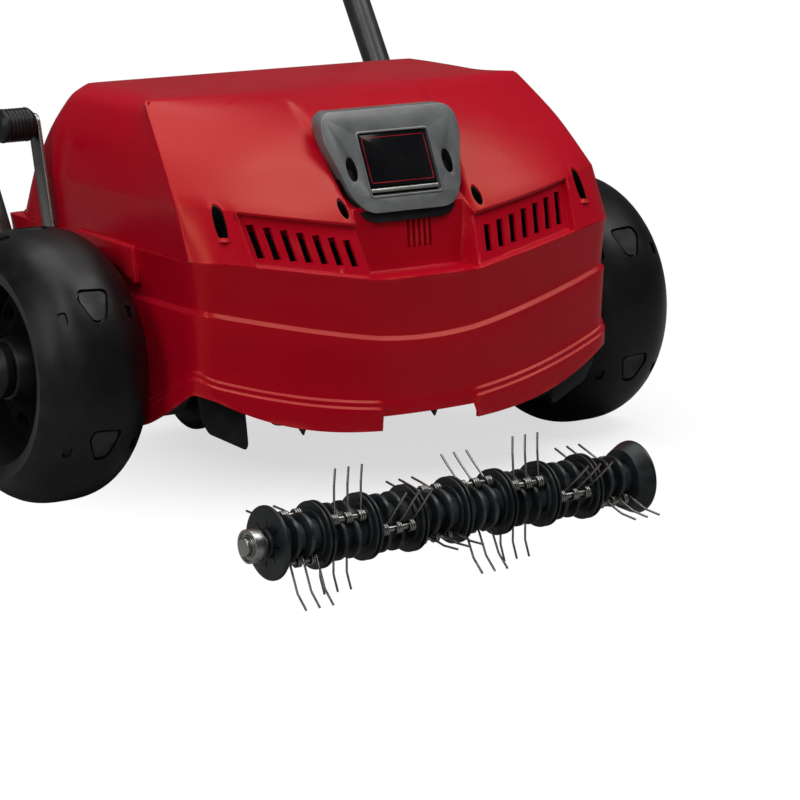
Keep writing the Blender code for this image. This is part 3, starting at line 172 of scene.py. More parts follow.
def brushed(name, base, dark, rough, stretch=(6.0, 90.0, 90.0), stain=None):
    """Bare metal with brushing, darker patches and uneven gloss."""
    f = Finish(name, rough, 1.0)
    lines = f.noise(26.0, 4.0, stretch)
    tone = f.mix(f.span(lines, 0.30, 0.72), base, dark)
    if stain:
        patch = f.span(f.noise(46.0, 6.0, distortion=0.6), 0.50, 0.72, 0.0, 0.75)
        tone = f.mix(patch, tone, stain)
    f.colour(tone)
    f.roughness(f.span(lines, 0.30, 0.70, rough - 0.06, rough + 0.10))
    f.bump(lines, 0.25, 0.00002)
    return f.mat


def red_plastic():
    """Satin moulded red: soft clouds, fine specks, rubbed edges and faint wipe marks."""
    f = Finish("red_plastic", 0.36)
    tone = f.mix(f.span(f.noise(7.0, 3.0), 0.35, 0.70), (0.395, 0.0008, 0.012), (0.345, 0.0006, 0.01))
    tone = f.mix(f.span(f.noise(1400.0, 2.0), 0.62, 0.78, 0.0, 0.30), tone, (0.26, 0.0008, 0.008))
    rub = f.product(f.edges(0.515, 0.60), f.span(f.noise(60.0, 5.0), 0.42, 0.62, 0.0, 0.55))
    f.colour(f.mix(rub, tone, (0.56, 0.045, 0.04)))
    wipe = f.noise(22.0, 1.5, (1.0, 2.4, 1.3))
    f.roughness(f.span(wipe, 0.30, 0.70, 0.27, 0.34))
    f.bump(f.noise(3200.0, 2.0), 0.22, 0.000012)
    f.bump(f.noise(18.0, 2.0), 0.10, 0.0008)
    f.level("Specular IOR Level", 0.34)
    f.level("Specular Tint", (1.0, 0.38, 0.20, 1.0))
    return f.mat


def plate_gloss():
    f = Finish("plate_gloss", 0.08)
    f.colour(f.mix(f.span(f.noise(30.0, 4.0), 0.35, 0.70), (0.004, 0.004, 0.005), (0.008, 0.008, 0.009)))
    f.roughness(f.span(f.noise(220.0, 5.0), 0.40, 0.75, 0.10, 0.18))
    f.level("Specular IOR Level", 0.16)
    return f.mat


def grip_foam():
    f = Finish("grip_foam", 0.85)
    cell = f.cells(1500.0)
    f.colour(f.mix(f.span(cell, 0.1, 0.7), (0.006, 0.006, 0.006), (0.022, 0.022, 0.023)))
    f.roughness(f.span(f.noise(90.0, 4.0), 0.3, 0.7, 0.78, 0.92))
    f.bump(cell, 0.6, 0.0003)
    f.bump(f.noise(120.0, 3.0), 0.3, 0.0006)
    return f.mat


MOULDED = {
    "black_plastic": dict(base=(0.005, 0.0052, 0.0056), dark=(0.0024, 0.0024, 0.0027), rough=0.38,
                          grain=1900.0, grain_depth=0.00005, worn=(0.03, 0.031, 0.033), shine=0.22),
    "trim_plastic": dict(base=(0.108, 0.111, 0.113), dark=(0.066, 0.069, 0.071), rough=0.31,
                         worn=(0.23, 0.235, 0.235), shine=0.90),
    "slate_plastic": dict(base=(0.007, 0.0088, 0.01), dark=(0.0034, 0.0045, 0.0054), rough=0.36,
                          grain=2100.0, grain_depth=0.00005, worn=(0.055, 0.062, 0.066), shine=0.26),
    # Near-black for the linings of the screw wells: painted shade deep in the holes
    "painted_well_shade": dict(base=(0.0016, 0.0016, 0.0018), dark=(0.0009, 0.0009, 0.001), rough=0.55,
                       shine=0.08),
    "tube_paint": dict(base=(0.018, 0.018, 0.019), dark=(0.011, 0.011, 0.012), rough=0.36,
                       grain=1500.0, grain_depth=0.00003, worn=(0.05, 0.05, 0.052)),
    "belt_rubber": dict(base=(0.012, 0.012, 0.012), dark=(0.007, 0.007, 0.007), rough=0.75,
                        grain=1300.0, grain_depth=0.00006),
    "signal_red": dict(base=(0.42, 0.008, 0.01), dark=(0.32, 0.006, 0.008), rough=0.34,
                       worn=(0.6, 0.12, 0.1)),
}
BRUSHED = {
    "bright_steel": dict(base=(0.36, 0.355, 0.34), dark=(0.2, 0.195, 0.185), rough=0.29,
                         stain=(0.16, 0.15, 0.13)),
    "tine_steel": dict(base=(0.27, 0.265, 0.25), dark=(0.21, 0.205, 0.195), rough=0.27,
                       stretch=(9.0, 9.0, 9.0)),
    "blade_steel": dict(base=(0.5, 0.49, 0.47), dark=(0.36, 0.345, 0.33), rough=0.36,
                        stretch=(60.0, 60.0, 9.0), stain=(0.27, 0.24, 0.21)),
    "motor_can": dict(base=(0.42, 0.43, 0.44), dark=(0.3, 0.31, 0.32), rough=0.42,
                      stretch=(30.0, 30.0, 30.0), stain=(0.34, 0.33, 0.29)),
}
MATERIALS = {"red_plastic": red_plastic(), "plate_gloss": plate_gloss(), "grip_foam": grip_foam()}
MATERIALS.update((name, moulded(name, **look)) for name, look in MOULDED.items())
MATERIALS.update((name, brushed(name, **look)) for name, look in BRUSHED.items())


def dress_cad_nodes():
    """Every CAD node takes the material of its own slot."""
    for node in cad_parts.values():
        for slot in node.material_slots:
            key = slot.material.name.split(".")[0] if slot.material else "black_plastic"
            slot.material = MATERIALS.get(key, MATERIALS["black_plastic"])


# Pieces and modifiers

def mesh_object(name, bm):
    bmesh.ops.remove_doubles(bm, verts=bm.verts, dist=1e-6)
    bmesh.ops.recalc_face_normals(bm, faces=bm.faces)
    mesh = bpy.data.meshes.new(name)
    bm.to_mesh(mesh)
    bm.free()
    obj = bpy.data.objects.new(name, mesh)
    bpy.context.scene.collection.objects.link(obj)
    return obj


def piece(name, bm, slot, body="chassis", replaced=(), smooth=35.0):
    """A finished piece, shifted from the layout to the frame and riding on its body."""
    obj = mesh_object(name, bm)
    obj.data.transform(Matrix.Translation(SHIFT))
    obj.data.materials.append(MATERIALS[slot])
    obj.data.shade_smooth()
    obj.data.set_sharp_from_angle(angle=math.radians(smooth))
    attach(obj, body)
    if replaced:
        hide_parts(*replaced)


def reopened(*objects):
    """One bmesh from scratch objects, which are removed."""
    bm = bmesh.new()
    for obj in objects:
        bm.from_mesh(obj.data)
        bpy.data.objects.remove(obj, do_unlink=True)
    return bm


def rounded_piece(name, bm, slot, width, segments=2, angle=30.0, replaced=()):
    """A piece of the chassis whose edges are rounded."""
    obj = mesh_object(name, bm)
    round_edges(obj, width, segments, angle)
    piece(name, reopened(obj), slot, "chassis", replaced, 32.0)


def turned_piece(name, profile, segments, slot, body, place, replaced, fillet=0.0006):
    bm = bmesh.new()
    add_turned(bm, profile, segments, place, fillet)
    piece(name, bm, slot, body, (replaced,))


def modify(obj, kind, **values):
    """Adds one modifier and turns it into plain mesh."""
    modifier = obj.modifiers.new(kind.lower(), kind)
    for name, value in values.items():
        setattr(modifier, name, value)
    graph = bpy.context.evaluated_depsgraph_get()
    mesh = bpy.data.meshes.new_from_object(obj.evaluated_get(graph))
    obj.modifiers.clear()
    old = obj.data
    obj.data = mesh
    bpy.data.meshes.remove(old)


def cut(target, bm, crossing=False):
    """Cuts the body of a bmesh from a scratch object."""
    tool = mesh_object("cutter", bm)
    modify(target, "BOOLEAN", operation="DIFFERENCE", solver="EXACT", use_self=crossing, object=tool)
    bpy.data.objects.remove(tool, do_unlink=True)


def round_edges(obj, width, segments=2, angle=30.0):
    modify(obj, "BEVEL", width=width, segments=segments, limit_method="ANGLE",
           angle_limit=math.radians(angle), harden_normals=False)


def smooth_cage(obj, levels=2):
    modify(obj, "SUBSURF", levels=levels, render_levels=levels)


def thicken(obj, thickness):
    modify(obj, "SOLIDIFY", thickness=thickness, offset=-1.0)


# Mesh building

def lerp(a, b, share):
    return a + (b - a) * share


def curve_value(points, x):
    """Straight-line reading of a short list of (x, value) pairs."""
    if x <= points[0][0]:
        return points[0][1]
    for (x0, v0), (x1, v1) in zip(points, points[1:]):
        if x <= x1:
            return lerp(v0, v1, (x - x0) / (x1 - x0))
    return points[-1][1]


def full_turn(steps):
    return [2 * math.pi * k / steps for k in range(steps)]


def at(x, *points):
    """Profile points from their millimetres beyond x."""
    return [(x + dx * MM, r * MM) for dx, r in points]


def flipped(half, width=0.0):
    """The other end of a profile, in the order that closes it."""
    return [(width - x, r) for x, r in reversed(half)]


def sided(side, profile):
    return [(side * x, r) for x, r in profile]


def strip(bm, a, b, closed=True):
    """Quads between two rows of vertices."""
    count = len(a)
    for i in range(count if closed else count - 1):
        j = (i + 1) % count
        bm.faces.new((a[i], a[j], b[j], b[i]))


def bridge(bm, loops):
    """Bands between loops of points; returns the loops of vertices."""
    grid = [[bm.verts.new(point) for point in loop] for loop in loops]
    for a, b in zip(grid, grid[1:]):
        strip(bm, a, b)
    return grid


def add_column(bm, rings):
    """A closed body through rings of points, capped at its first and last ring."""
    grid = bridge(bm, rings)
    bm.faces.new(grid[0][::-1])
    bm.faces.new(grid[-1])


def add_slab(bm, outline, depth):
    """A prism from a flat outline and a depth vector."""
    near = [bm.verts.new(p) for p in outline]
    far = [bm.verts.new(p + depth) for p in outline]
    bm.faces.new(near)
    bm.faces.new(far[::-1])
    for i in range(len(near)):
        j = (i + 1) % len(near)
        bm.faces.new((near[i], far[i], far[j], near[j]))


def add_x_slab(bm, outline, x, depth):
    """A prism along X from an outline in (y, z)."""
    add_slab(bm, [Vector((x, y, z)) for y, z in outline], Vector((depth, 0.0, 0.0)))


def add_y_slab(bm, outline, y, depth, side=1):
    """A prism along Y from an outline in (x, z), mirrored when side is -1."""
    add_slab(bm, [Vector((side * x, y, z)) for x, z in outline], Vector((0.0, depth, 0.0)))


def add_block(bm, low, high):
    corners = [(x, y, z) for z in (low[2], high[2]) for y in (low[1], high[1]) for x in (low[0], high[0])]
    verts = [bm.verts.new(corner) for corner in corners]
    for face in ((0, 2, 3, 1), (4, 5, 7, 6), (0, 1, 5, 4), (2, 6, 7, 3), (0, 4, 6, 2), (1, 3, 7, 5)):
        bm.faces.new([verts[i] for i in face])


def filleted(points, radius, steps=3):
    """Rounds the corners of a closed 2D outline that are off the axis."""
    points = [Vector(point) for point in points]
    out = []
    for i, corner in enumerate(points):
        before = points[i - 1] - corner
        after = points[(i + 1) % len(points)] - corner
        reach = min(radius, before.length * 0.45, after.length * 0.45)
        if reach < 1e-6 or corner.y < 1e-6:
            out.append(corner)
            continue
        start = corner + before.normalized() * reach
        end = corner + after.normalized() * reach
        for k in range(steps + 1):
            t = k / steps
            out.append(start * (1 - t) ** 2 + corner * 2 * t * (1 - t) + end * t * t)
    return out


def filleted_low(points, radius, steps=3):
    """filleted() for an outline that lies on both sides of the axis."""
    lifted = filleted([(x, y + 1.0) for x, y in points], radius, steps)
    return [point - Vector((0.0, 1.0)) for point in lifted]


def add_turned(bm, profile, segments, place=Matrix.Identity(4), fillet=0.0):
    """Skin of a closed profile of (x, radius) turned about X, then put in place."""
    profile = filleted(profile, fillet) if fillet else profile
    rings = [[bm.verts.new(place @ Vector((x, r * math.cos(angle), r * math.sin(angle)))) for x, r in profile]
             for angle in full_turn(segments)]
    for a, b in zip(rings, rings[1:] + rings[:1]):
        for i in range(len(profile)):
            j = (i + 1) % len(profile)
            if profile[i][1] > 1e-7 or profile[j][1] > 1e-7:
                bm.faces.new((a[i], a[j], b[j], b[i]))


def add_rod(bm, x0, x1, radius, place, chamfer=0.0008):
    """A round bar along X with chamfered ends."""
    low, high = sorted((x0, x1))
    half = [(low, 0.0), (low, radius - chamfer), (low + chamfer, radius)]
    add_turned(bm, half + flipped(half, low + high), 32, place)


def sweep(bm, points, radius, sides):
    """A round bar along a line of points."""
    points = [Vector(point) for point in points]
    side = None
    rings = []
    for i, point in enumerate(points):
        along = (points[min(i + 1, len(points) - 1)] - points[max(i - 1, 0)]).normalized()
        if side is None:
            side = along.orthogonal().normalized()
        side = (side - along * side.dot(along)).normalized()
        across = along.cross(side)
        rings.append([point + (side * math.cos(a) + across * math.sin(a)) * radius for a in full_turn(sides)])
    add_column(bm, rings)


def rounded_line(corners, radius, steps=8):
    """A polyline with its inner corners turned into arcs."""
    corners = [Vector(c) for c in corners]
    out = [corners[0]]
    for before, corner, after in zip(corners, corners[1:], corners[2:]):
        start = corner + (before - corner).normalized() * radius
        end = corner + (after - corner).normalized() * radius
        near = start.lerp(corner, 0.5523)
        far = end.lerp(corner, 0.5523)
        for k in range(steps + 1):
            t = k / steps
            out.append(start * (1 - t) ** 3 + near * 3 * t * (1 - t) ** 2
                       + far * 3 * t * t * (1 - t) + end * t ** 3)
    out.append(corners[-1])
    return out


# Cages for subdivision

def new_cage():
    bm = bmesh.new()
    bm.edges.layers.float.new("crease_edge")
    return bm


def set_crease(bm, a, b, value):
    bm.edges.get((a, b))[bm.edges.layers.float["crease_edge"]] = value


def crease_loops(bm, grid, values):
    for row, value in zip(grid, values):
        for a, b in zip(row, row[1:] + row[:1]):
            set_crease(bm, a, b, value)


def mirrored(half):
    """A closed loop from its half with x >= 0, front middle first and rear middle last."""
    return half + [Vector((-p.x, p.y, p.z)) for p in reversed(half[1:-1])]


# Housing lines, in the layout's coordinates

CORNER_X = 0.172
SIDE_X = 0.184
CORNER_Y = -0.122
REAR_Y = 0.150
FRONT_Y = -0.155
FRONT_BOW = 0.021
CREASE_MID_Z = 0.1648
CREASE_FLAT_X = 0.043
CREASE_END_Z = 0.1872
SHELL = 0.0032
DECK_STATIONS = (0.0, 0.022, 0.04, 0.0425, 0.06, 0.082, 0.104, 0.126, 0.146, 0.162, CORNER_X)
SIDE_STATIONS = (-0.112, -0.09, -0.07, -0.05, -0.025, 0.005, 0.04, 0.08, 0.12, 0.142)
REAR_STATIONS = (0.172, 0.14, 0.09, 0.045, 0.0)
NOTCH_RISE = 0.010
NOTCH_HALF = 0.041
SIDE_SKIRT = ((-0.128, 0.097), (-0.09, 0.075), (-0.044, 0.053), (0.0, 0.054))
RIDGE_KNEE_X = 0.066


def bow(x):
    return FRONT_Y + FRONT_BOW * (x / CORNER_X) ** 2


def crease_z(x):
    share = (abs(x) - CREASE_FLAT_X) / (CORNER_X - CREASE_FLAT_X)
    return CREASE_MID_Z + (CREASE_END_Z - CREASE_MID_Z) * min(max(share, 0.0), 1.0)


def skirt_z(x):
    notch = NOTCH_RISE if abs(x) < NOTCH_HALF else 0.0
    return 0.054 + 0.043 * (x / SIDE_X) ** 3 + notch


def low_ridge_z(x):
    return 0.068 + 0.034 * (x / SIDE_X) ** 1.9


def mid_ridge_z(x):
    """Level over the middle and rising to the sides."""
    beyond = abs(x) - RIDGE_KNEE_X
    if beyond < 0.0:
        return 0.1194 + 0.0066 * (abs(x) / RIDGE_KNEE_X) ** 2
    return 0.1260 + 0.20 * beyond + 0.25 * beyond ** 2


def deck_half(out, front_z, side_z, rear_z, middle_out):
    """Half a loop of the lower housing; out pushes it outward, middle_out caps that at the notch."""
    half = [Vector((x, bow(x) - (out if x > NOTCH_HALF else min(out, middle_out)), front_z(x)))
            for x in DECK_STATIONS]
    corner_z = side_z(CORNER_Y)
    between_z = lerp(front_z(CORNER_X), corner_z, 0.5)
    half.append(Vector((CORNER_X + 0.007 + out * 0.6, -0.1295 - out * 0.7, between_z)))
    half.append(Vector((SIDE_X - 0.001 + out, -0.1225 - out * 0.3, corner_z)))
    half += [Vector((SIDE_X + out, y, side_z(y))) for y in SIDE_STATIONS]
    half.append(Vector((SIDE_X - 0.001 + out, REAR_Y - 0.001 + out, rear_z)))
    return half + [Vector((x, REAR_Y + out, rear_z)) for x in REAR_STATIONS]


def skirt_row(out, lift, middle_out):
    """A row of the skirt that runs along the low ridge."""
    return (out, lambda x: low_ridge_z(x) + lift, lambda y: curve_value(SIDE_SKIRT, y) + 0.012 + lift,
            0.066 + lift, 1.0, middle_out)


def crease_row(out, drop, sharp):
    end = CREASE_END_Z - drop
    return (out, lambda x: crease_z(x) - drop, lambda y: end, end, sharp, 1.0)


def deck_shell():
    """Rows of (out, front height, side height, rear height, sharpness, cap of out at the notch)."""
    rows = (
        (0.0, skirt_z, lambda y: curve_value(SIDE_SKIRT, y), 0.056, 1.0, -0.0028),
        skirt_row(0.0002, 0.0, -0.0028),
        skirt_row(-0.0015, 0.0017, -0.0030),
        skirt_row(-0.0016, 0.0046, -0.0032),
        skirt_row(-0.0034, 0.0063, 1.0),
        (-0.0012, lambda x: mid_ridge_z(x) - 0.0014, lambda y: 0.1495, 0.1465, 1.0, 1.0),
        (-0.0042, lambda x: mid_ridge_z(x) + 0.0018, lambda y: 0.1530, 0.1505, 1.0, 1.0),
        crease_row(-0.0012, 0.006, 0.0),
        crease_row(0.0, 0.0, 0.9),
        crease_row(-0.0060, 0.0, 0.6),
        crease_row(-0.0140, 0.0010, 0.0),
    )
    bm = new_cage()
    grid = bridge(bm, [mirrored(deck_half(out, front, side, rear, middle))
                       for out, front, side, rear, _, middle in rows])
    crease_loops(bm, grid, [row[4] for row in rows])
    count = len(grid[0])
    for i in (2, 3, count - 2, count - 3):
        set_crease(bm, grid[0][i], grid[1][i], 1.0)
    return bm


MOUTH_HALF = 0.140
MOUTH_LOW = 0.072
MOUTH_HIGH = 0.145
LUG_X = 0.143
LUG_THICK = 0.008
LUG_AXLE = (0.196, 0.040)
LUG_RADIUS = 0.012


def add_mouth_cutter(bm, corner=0.006):
    """A block through the rear wall with rounded corners."""
    xs = (-MOUTH_HALF + corner, MOUTH_HALF - corner)
    zs = (MOUTH_LOW + corner, MOUTH_HIGH - corner)
    outline = []
    for right, top, start in ((1, 1, 0), (0, 1, 90), (0, 0, 180), (1, 0, 270)):
        for k in range(5):
            angle = math.radians(start + 22.5 * k)
            outline.append((xs[right] + corner * math.cos(angle), zs[top] + corner * math.sin(angle)))
    add_y_slab(bm, outline, REAR_Y - 0.010, 0.014)


def add_lug(bm, side):
    """Rear axle lug with rounded corners."""
    y, z = LUG_AXLE
    root = REAR_Y - 0.003
    outline = [(root, 0.170), (0.165, 0.170), (0.167, 0.148), (y + 0.010, 0.054)]
    for k in range(9):
        angle = math.radians(-20 - 140 * k / 8)
        outline.append((y + LUG_RADIUS * math.cos(angle), z + LUG_RADIUS * math.sin(angle)))
    outline.append((root, 0.076))
    add_x_slab(bm, outline, side * LUG_X, side * LUG_THICK)


def build_deck():
    deck = mesh_object("deck_skin", deck_shell())
    smooth_cage(deck)
    round_edges(deck, 0.0004, 2, 22.0)
    thicken(deck, SHELL)
    bm = bmesh.new()
    add_mouth_cutter(bm)
    cut(deck, bm, crossing=True)
    bm = reopened(deck)
    for side, _ in SIDES:
        add_lug(bm, side)
    piece("deck_skin", bm, "red_plastic", "chassis", ("deck_housing",), 32.0)


# Surround's slope

TRIM_LEAN = 0.473
TRIM_FOOT_Y = -0.1285
TRIM_FOOT_Z = 0.209
TRIM_THICK = 0.012


def on_trim(x, z, behind=0.0):
    """A point on the surround's sloping face, or behind it."""
    return Vector((x, TRIM_FOOT_Y + TRIM_LEAN * (z - TRIM_FOOT_Z) + behind, z))


# Hood

TOP_Z = 0.290
EDGE_FOOT = Vector((SIDE_X + 0.0005, CORNER_Y, CREASE_END_Z))
EDGE_MID = Vector((SIDE_X, -0.0975, 0.238))
EDGE_TOP = Vector((0.1656, -0.0300, TOP_Z))
LOBE_SHARES = (0.0, 0.14, 0.32, 0.50, 0.68, 0.86, 1.0)
LOBE_END_X = 0.149
LIP_Y = -0.136
CREASE_GAP = 0.0003
HOOD_SIDE_Y = (-0.080, -0.040, -0.010, 0.030, 0.080, 0.118)
# Rows from the crease to the top's rim: x of the middle bay's wall, height at the side, sharpness
HOOD_ROWS = {
    "crease": (0.045, CREASE_END_Z + CREASE_GAP, 0.9),
    "ledge": (0.045, CREASE_END_Z + 0.0026, 0.95),
    "face_top": (0.047, 0.211, 0.95),
    "lip_low": (0.0485, 0.2205, 1.0),
    "lip": (0.05, 0.224, 1.0),
    "shoulder": (0.056, 0.2585, 0.25),
    "brow": (0.056, 0.2835, 0.35),
    "rim": (0.056, TOP_Z, 0.6),
}
BAY_YZ = {"face_top": (-0.1255, 0.19), "lip_low": (-0.1235, 0.2125), "brow": (-0.06, 0.2835),
          "rim": (-0.036, TOP_Z)}
BAY_BEHIND_TRIM = {"lip": 0.222, "shoulder": 0.262}
LIP_STEPS = {"face_top": (0.0034, 0.0024), "lip_low": (0.0003, 0.0018), "lip": (0.0, 0.0)}
WEDGE_RISE = {"crease": 0.0, "ledge": 0.08, "face_top": 0.60, "lip_low": 0.92, "lip": 1.0}
PANEL_MID_Y = {"shoulder": -0.0925, "brow": -0.059, "rim": -0.038}
TOP_INWARD = {"brow": 0.006, "rim": 0.020}


def corner_edge(z):
    """The sharp line between the front lobe and the side, at a height."""
    low, high = (EDGE_FOOT, EDGE_MID) if z < EDGE_MID.z else (EDGE_MID, EDGE_TOP)
    return low.lerp(high, (z - low.z) / (high.z - low.z))


def lobe_inner_x(z):
    return 0.0488 + 0.152 * (z - 0.187)


def wedge_outer_x(z):
    return 0.1403 + 0.162 * (z - 0.190)


def level_z(x):
    return 0.1954 + 0.168 * x


def panel_y(x, mid_y, z):
    """Front panel's depth at a height: flat in the middle, swept back to the corner edge."""
    edge = corner_edge(z)
    return mid_y + (edge.y - mid_y) * (abs(x) / edge.x) ** 3.0


def over_crease(x, back=CREASE_GAP, lift=CREASE_GAP):
    return Vector((x, bow(x) + back, crease_z(x) + lift))


def on_lip(x, back=0.0, drop=0.0):
    z = level_z(x)
    return Vector((x, panel_y(x, LIP_Y, z) + back, z - drop))


def on_panel(kind, x):
    z = HOOD_ROWS[kind][1]
    return Vector((x, panel_y(x, PANEL_MID_Y[kind], z), z))


def bay_point(kind, x):
    """In the recess between the lobes, behind the grille and the surround."""
    if kind == "crease":
        return over_crease(x)
    if kind == "ledge":
        return Vector((x, -0.1275, crease_z(x) + 0.0015))
    if kind in BAY_BEHIND_TRIM:
        return on_trim(x, BAY_BEHIND_TRIM[kind], 0.0125)
    return Vector((x, *BAY_YZ[kind]))


def lobe_point(kind, share):
    """Over the vent panel, from its inner wall to its outer one."""
    low_x = lerp(lobe_inner_x(0.172), wedge_outer_x(0.184), share)
    if kind == "crease":
        return over_crease(low_x)
    if kind == "ledge":
        return over_crease(low_x, lerp(0.0060, 0.0080, share), 0.0013)
    if kind in LIP_STEPS:
        return on_lip(lerp(lobe_inner_x(0.210), wedge_outer_x(level_z(0.147)), share), *LIP_STEPS[kind])
    return on_panel(kind, lerp(lobe_inner_x(min(HOOD_ROWS[kind][1], 0.262)), LOBE_END_X, share))


def wedge_point(kind, share):
    """Between the vent panel and the corner edge."""
    if kind in WEDGE_RISE:
        foot = over_crease(lerp(wedge_outer_x(0.190), CORNER_X, share))
        head = on_lip(lerp(wedge_outer_x(level_z(0.147)), 0.1700, share))
        return foot.lerp(head, WEDGE_RISE[kind])
    return on_panel(kind, lerp(LOBE_END_X, corner_edge(HOOD_ROWS[kind][1]).x - 0.006, share))


def side_points(kind):
    """From the corner edge along the side to the rear's middle."""
    z = HOOD_ROWS[kind][1]
    edge = corner_edge(z)
    lean = max(0.0, (z - 0.192) / 0.064)
    tuck = max(0.0, (z - EDGE_MID.z) / (EDGE_TOP.z - EDGE_MID.z))
    inward = TOP_INWARD.get(kind, 0.0)
    first, last = HOOD_SIDE_Y[0], HOOD_SIDE_Y[-1]
    points = [Vector((edge.x, edge.y, z))]
    for k, station in enumerate(HOOD_SIDE_Y):
        y = lerp(edge.y + 0.016, last - lean * 0.030, (station - first) / (last - first))
        bulge = -0.0020 * math.exp(-((k - 1.0) / 1.1) ** 2)
        points.append(Vector((SIDE_X - 0.001 - 0.0145 * tuck - inward + bulge, y, z)))
    rear = REAR_Y - 0.010 - 0.034 * lean
    points.append(Vector((SIDE_X - 0.006 - 0.012 * tuck - inward, rear - 0.004, z)))
    return points + [Vector((x, rear, z)) for x in (0.150, 0.100, 0.050, 0.0)]


def hood_row(kind):
    """Half a loop of the hood, x >= 0 from the middle to the rear."""
    row = [bay_point(kind, x) for x in (0.0, 0.016, 0.032, HOOD_ROWS[kind][0])]
    row += [lobe_point(kind, share) for share in LOBE_SHARES]
    row += [wedge_point(kind, share) for share in (0.0, 0.5, 1.0)]
    return row + side_points(kind)


def hood_shell():
    bm = new_cage()
    grid = bridge(bm, [mirrored(hood_row(kind)) for kind in HOOD_ROWS])
    count = len(grid[0])
    crease_loops(bm, grid, [row[2] for row in HOOD_ROWS.values()])
    lobe = 4 + len(LOBE_SHARES)
    for column, value in {3: 0.95, 4: 0.95, lobe - 1: 1.0, lobe: 1.0, lobe + 3: 0.75}.items():
        for i in (column, count - column):
            for a, b in zip(grid, grid[1:]):
                set_crease(bm, a[i], b[i], value)
    rim = ring = grid[-1]
    centre_y = 0.035
    for share, lift in ((0.7, 0.0015), (0.3, 0.0020)):
        inner = [bm.verts.new((v.co.x * share, centre_y + (v.co.y - centre_y) * share, TOP_Z + lift))
                 for v in rim]
        strip(bm, ring, inner)
        ring = inner
    bm.faces.new(ring)
    return bm


# Screw wells of (x, z, half width, half depth, half height)
SCREW_WELLS = ((0.1584, 0.2131, 0.0044, 0.0086, 0.0095), (0.0590, 0.2149, 0.0038, 0.0058, 0.0080))
# Walls of a well's cup and of its black lining, which is painted shade deep in the well: (wider than the
# well, rim below the skin, floor below the well)
CUP_WALLS = ((0.0015, 0.0030, 0.0030), (0.0001, 0.0004, 0.0024))
SHADE_LINING_WALLS = ((-0.0002, 0.0014, 0.0022), (-0.0009, 0.0014, 0.0017))
TRIM_WELL_X = 0.0420
TRIM_WELL_Z = 0.2410
TRIM_WELL_RADIUS = 0.0044
VENT_SLOTS = 7
VENT_FEET = ((0.0591, 0.1749), (0.1314, 0.1864))
VENT_HEADS = ((0.0620, 0.1936), (0.1355, 0.2097))
VENT_SLOT_WIDTH = 0.0058
GRILLE_SLOTS = 5
GRILLE_X = 0.009
GRILLE_PITCH = 0.0048
GRILLE_HALF = 0.0011


def add_vent_cutters(bm):
    half = VENT_SLOT_WIDTH / 2
    for side, _ in SIDES:
        for i in range(VENT_SLOTS):
            share = i / (VENT_SLOTS - 1)
            foot_x, foot_z = (lerp(a, b, share) for a, b in zip(*VENT_FEET))
            head_x, head_z = (lerp(a, b, share) for a, b in zip(*VENT_HEADS))
            outline = ((foot_x - half, foot_z), (foot_x + half, foot_z), (head_x + half, head_z),
                       (head_x - half, head_z))
            add_y_slab(bm, outline, -0.160, 0.060, side)
    for i in range(GRILLE_SLOTS):
        x = GRILLE_X + (i - GRILLE_SLOTS // 2) * GRILLE_PITCH
        add_block(bm, (x - GRILLE_HALF, -0.140, 0.181), (x + GRILLE_HALF, -0.110, 0.203))


def oval(x, y, across, deep):
    """Points of a level oval round (x, y)."""
    return [(x + across * math.cos(a), y + deep * math.sin(a)) for a in full_turn(28)]


def level_ring(points, z):
    return [Vector((x, y, z)) for x, y in points]


def hood_wells(skin):
    """The four wells as (x, y, z, half width, half depth, half height)."""
    wells = []
    for x, z, *halves in SCREW_WELLS:
        for side, _ in SIDES:
            hit = skin.ray_cast(Vector((side * x, -0.3, z)), Vector((0.0, 1.0, 0.0)))[0]
            wells.append((hit.x, hit.y, z, *halves))
    return wells


def rim_ring(skin, points, lowest, drop):
    """A ring that follows the hood's skin, a little below it."""
    ring = []
    for x, y in points:
        hit = skin.ray_cast(Vector((x, y, 0.35)), Vector((0.0, 0.0, -1.0)))[0]
        top = max(hit.z, lowest) if hit else lowest
        ring.append(Vector((x, y, top - drop)))
    return ring


def add_well_body(bm, skin, well, walls):
    """A cup, or a black lining that is painted shade in the well: up along its outer wall and down along its
    inner one.
    """
    x, y, z, across, deep, tall = well
    rings = []
    for wider, rim, floor in walls:
        points = oval(x, y, across + wider, deep + wider)
        pair = [level_ring(points, z - tall - floor), rim_ring(skin, points, z - tall, rim)]
        rings += pair[::-1] if rings else pair
    add_column(bm, rings)


def add_trim_well_shade(bm, side):
    """Black lining of a screw well in the surround, painted shade for the deep hole, with its rim along the
    slope.
    """
    x, y, _ = on_trim(side * TRIM_WELL_X, TRIM_WELL_Z)
    outer, mid, inner = (oval(x, y, TRIM_WELL_RADIUS - inset, TRIM_WELL_RADIUS - inset)
                         for inset in (0.0, 0.0002, 0.0009))
    rims = [[Vector((px, py, TRIM_FOOT_Z + (py - TRIM_FOOT_Y) / TRIM_LEAN - 0.0014)) for px, py in points]
            for points in (mid, inner)]
    add_column(bm, [level_ring(outer, TRIM_WELL_Z - 0.0135), *rims, level_ring(inner, TRIM_WELL_Z - 0.0120)])


def build_wells(skin, wells):
    """Lining cups whose rims follow the hood's skin, and in each a black lining that is painted shade deep in
    the well.
    """
    cups, shade_linings = bmesh.new(), bmesh.new()
    for well in wells:
        add_well_body(cups, skin, well, CUP_WALLS)
        add_well_body(shade_linings, skin, well, SHADE_LINING_WALLS)
    for side, _ in SIDES:
        add_trim_well_shade(shade_linings, side)
    piece("screw_wells", cups, "red_plastic", smooth=30.0)
    # The black linings in the wells are painted shade
    piece("screw_well_shade", shade_linings, "painted_well_shade", smooth=30.0)


